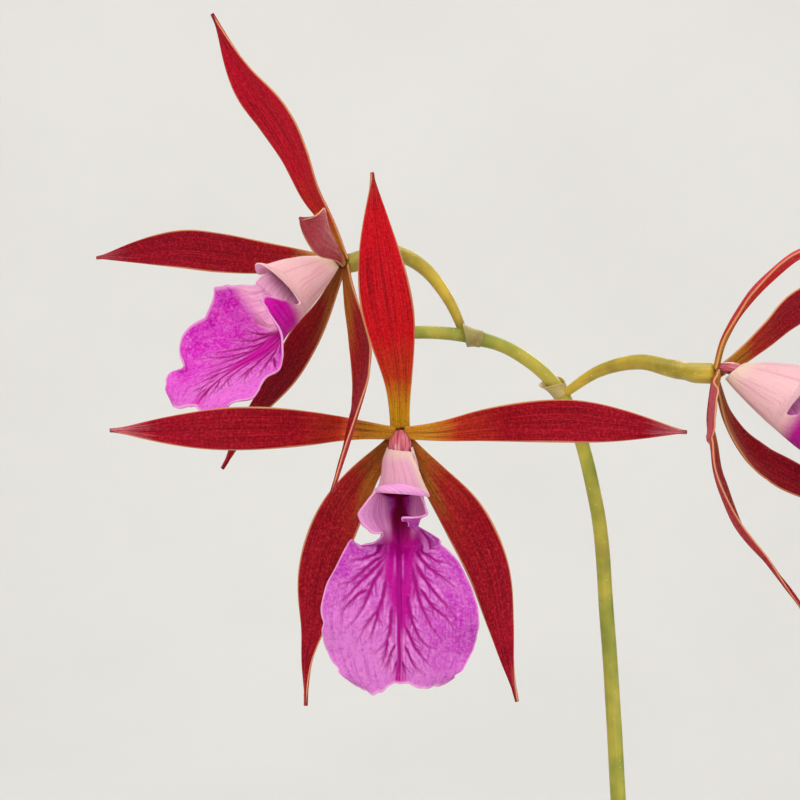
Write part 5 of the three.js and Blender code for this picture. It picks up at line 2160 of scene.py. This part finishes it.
@dataclass
class Studio:
    """A pale bowl of a floor, soft lights, and the camera in front of the blooms."""

    radius: float = 3.5
    wall: float = 2.6
    curve: float = 1.2
    turns: int = 96
    camera_back: float = 0.45
    camera_up: float = 0.00495
    lens: float = 135
    sensor: float = 36
    glow: float = 0.45
    finish: StudioFinish = field(default_factory=StudioFinish)

    def _floor(self) -> None:
        """Makes the floor, which curves up into a wall all round."""
        profile = [(0.0, 0.0), (self.radius - self.curve, 0.0)]
        for i in range(1, 13):
            angle = QUARTER * i / 12
            out = self.radius - self.curve + self.curve * math.sin(angle)
            profile.append((out, self.curve * (1 - math.cos(angle))))
        profile.append((self.radius, self.wall))
        bm = turned(profile, self.turns, unit=1, merge=1e-5)
        bmesh.ops.recalc_face_normals(bm, faces=bm.faces[:])
        if sum(face.normal.z * face.calc_area() for face in bm.faces) < 0:
            bmesh.ops.reverse_faces(bm, faces=bm.faces[:])
        floor = put_in_scene(bm, "studio_floor", self.finish.material())

    @staticmethod
    def _lamp(name: str, place: Vector, target: Vector, size: float, power: float, tint: Dye) -> None:
        """Adds one soft lamp that shines at a target.

        Args:
            name: The lamp's name.
            place: Where it stands, in metres.
            target: What it shines at, in metres.
            size: The side of its square face, in metres.
            power: Its power in watts.
            tint: Its colour.
        """
        lamp = bpy.data.lights.new(name, "AREA")
        lamp.shape = "SQUARE"
        lamp.size = size
        lamp.energy = power
        lamp.color = tint
        holder = bpy.data.objects.new(name, lamp)
        holder.location = place
        holder.rotation_euler = (target - place).to_track_quat("-Z", "Y").to_euler()
        holder.visible_camera = False
        bpy.context.scene.collection.objects.link(holder)

    def build(self) -> None:
        """Makes the floor, the lights and the camera."""
        self._floor()
        hub = HUB * MM
        self._lamp("key", Vector((-0.55, -1.15, 1.15)), hub, 0.7, 15, (1.0, 0.97, 0.93))
        self._lamp("fill", Vector((0.95, -0.95, 0.6)), hub, 1.1, 7, (0.95, 0.97, 1.0))
        self._lamp("top", Vector((0.1, 0.15, 1.7)), Vector((0, 0, 0.2)), 1.4, 10, (1.0, 1.0, 1.0))
        self._lamp("back", Vector((0.45, 1.2, 0.95)), Vector((0, 0, 0.3)), 0.9, 9, (1.0, 0.98, 0.95))
        self._lamp("backdrop", Vector((0, 1.3, 2.3)), Vector((0, 3.4, 0.5)), 1.6, 35, (1.0, 1.0, 1.0))
        world = bpy.data.worlds.new("pale room")
        world.use_nodes = True
        world.node_tree.nodes["Background"].inputs["Color"].default_value = (0.9, 0.92, 0.95, 1.0)
        world.node_tree.nodes["Background"].inputs["Strength"].default_value = self.glow
        bpy.context.scene.world = world
        bpy.context.scene.view_settings.view_transform = "Standard"
        camera = bpy.data.cameras.new("front")
        camera.lens = self.lens
        camera.sensor_width = self.sensor
        camera.clip_start = 0.01
        camera.clip_end = 20
        holder = bpy.data.objects.new("front_camera", camera)
        holder.location = hub + Vector((0, -self.camera_back, self.camera_up))
        holder.rotation_euler = (QUARTER, 0, 0)
        bpy.context.scene.collection.objects.link(holder)
        bpy.context.scene.camera = holder


def main() -> None:
    """Builds every part of the plant, then the studio."""
    logging.basicConfig(level=logging.INFO, format="%(name)s: %(message)s")
    pot = Pot()
    plant = [Rootstock(), *BULBS, FlowerStem(), FRONT_BLOOM, LEFT_BLOOM, RIGHT_BLOOM]
    parts = [pot, BarkBed(pot), *plant, Studio()]
    for part in parts:
        part.build()


if __name__ == "__main__":
    main()
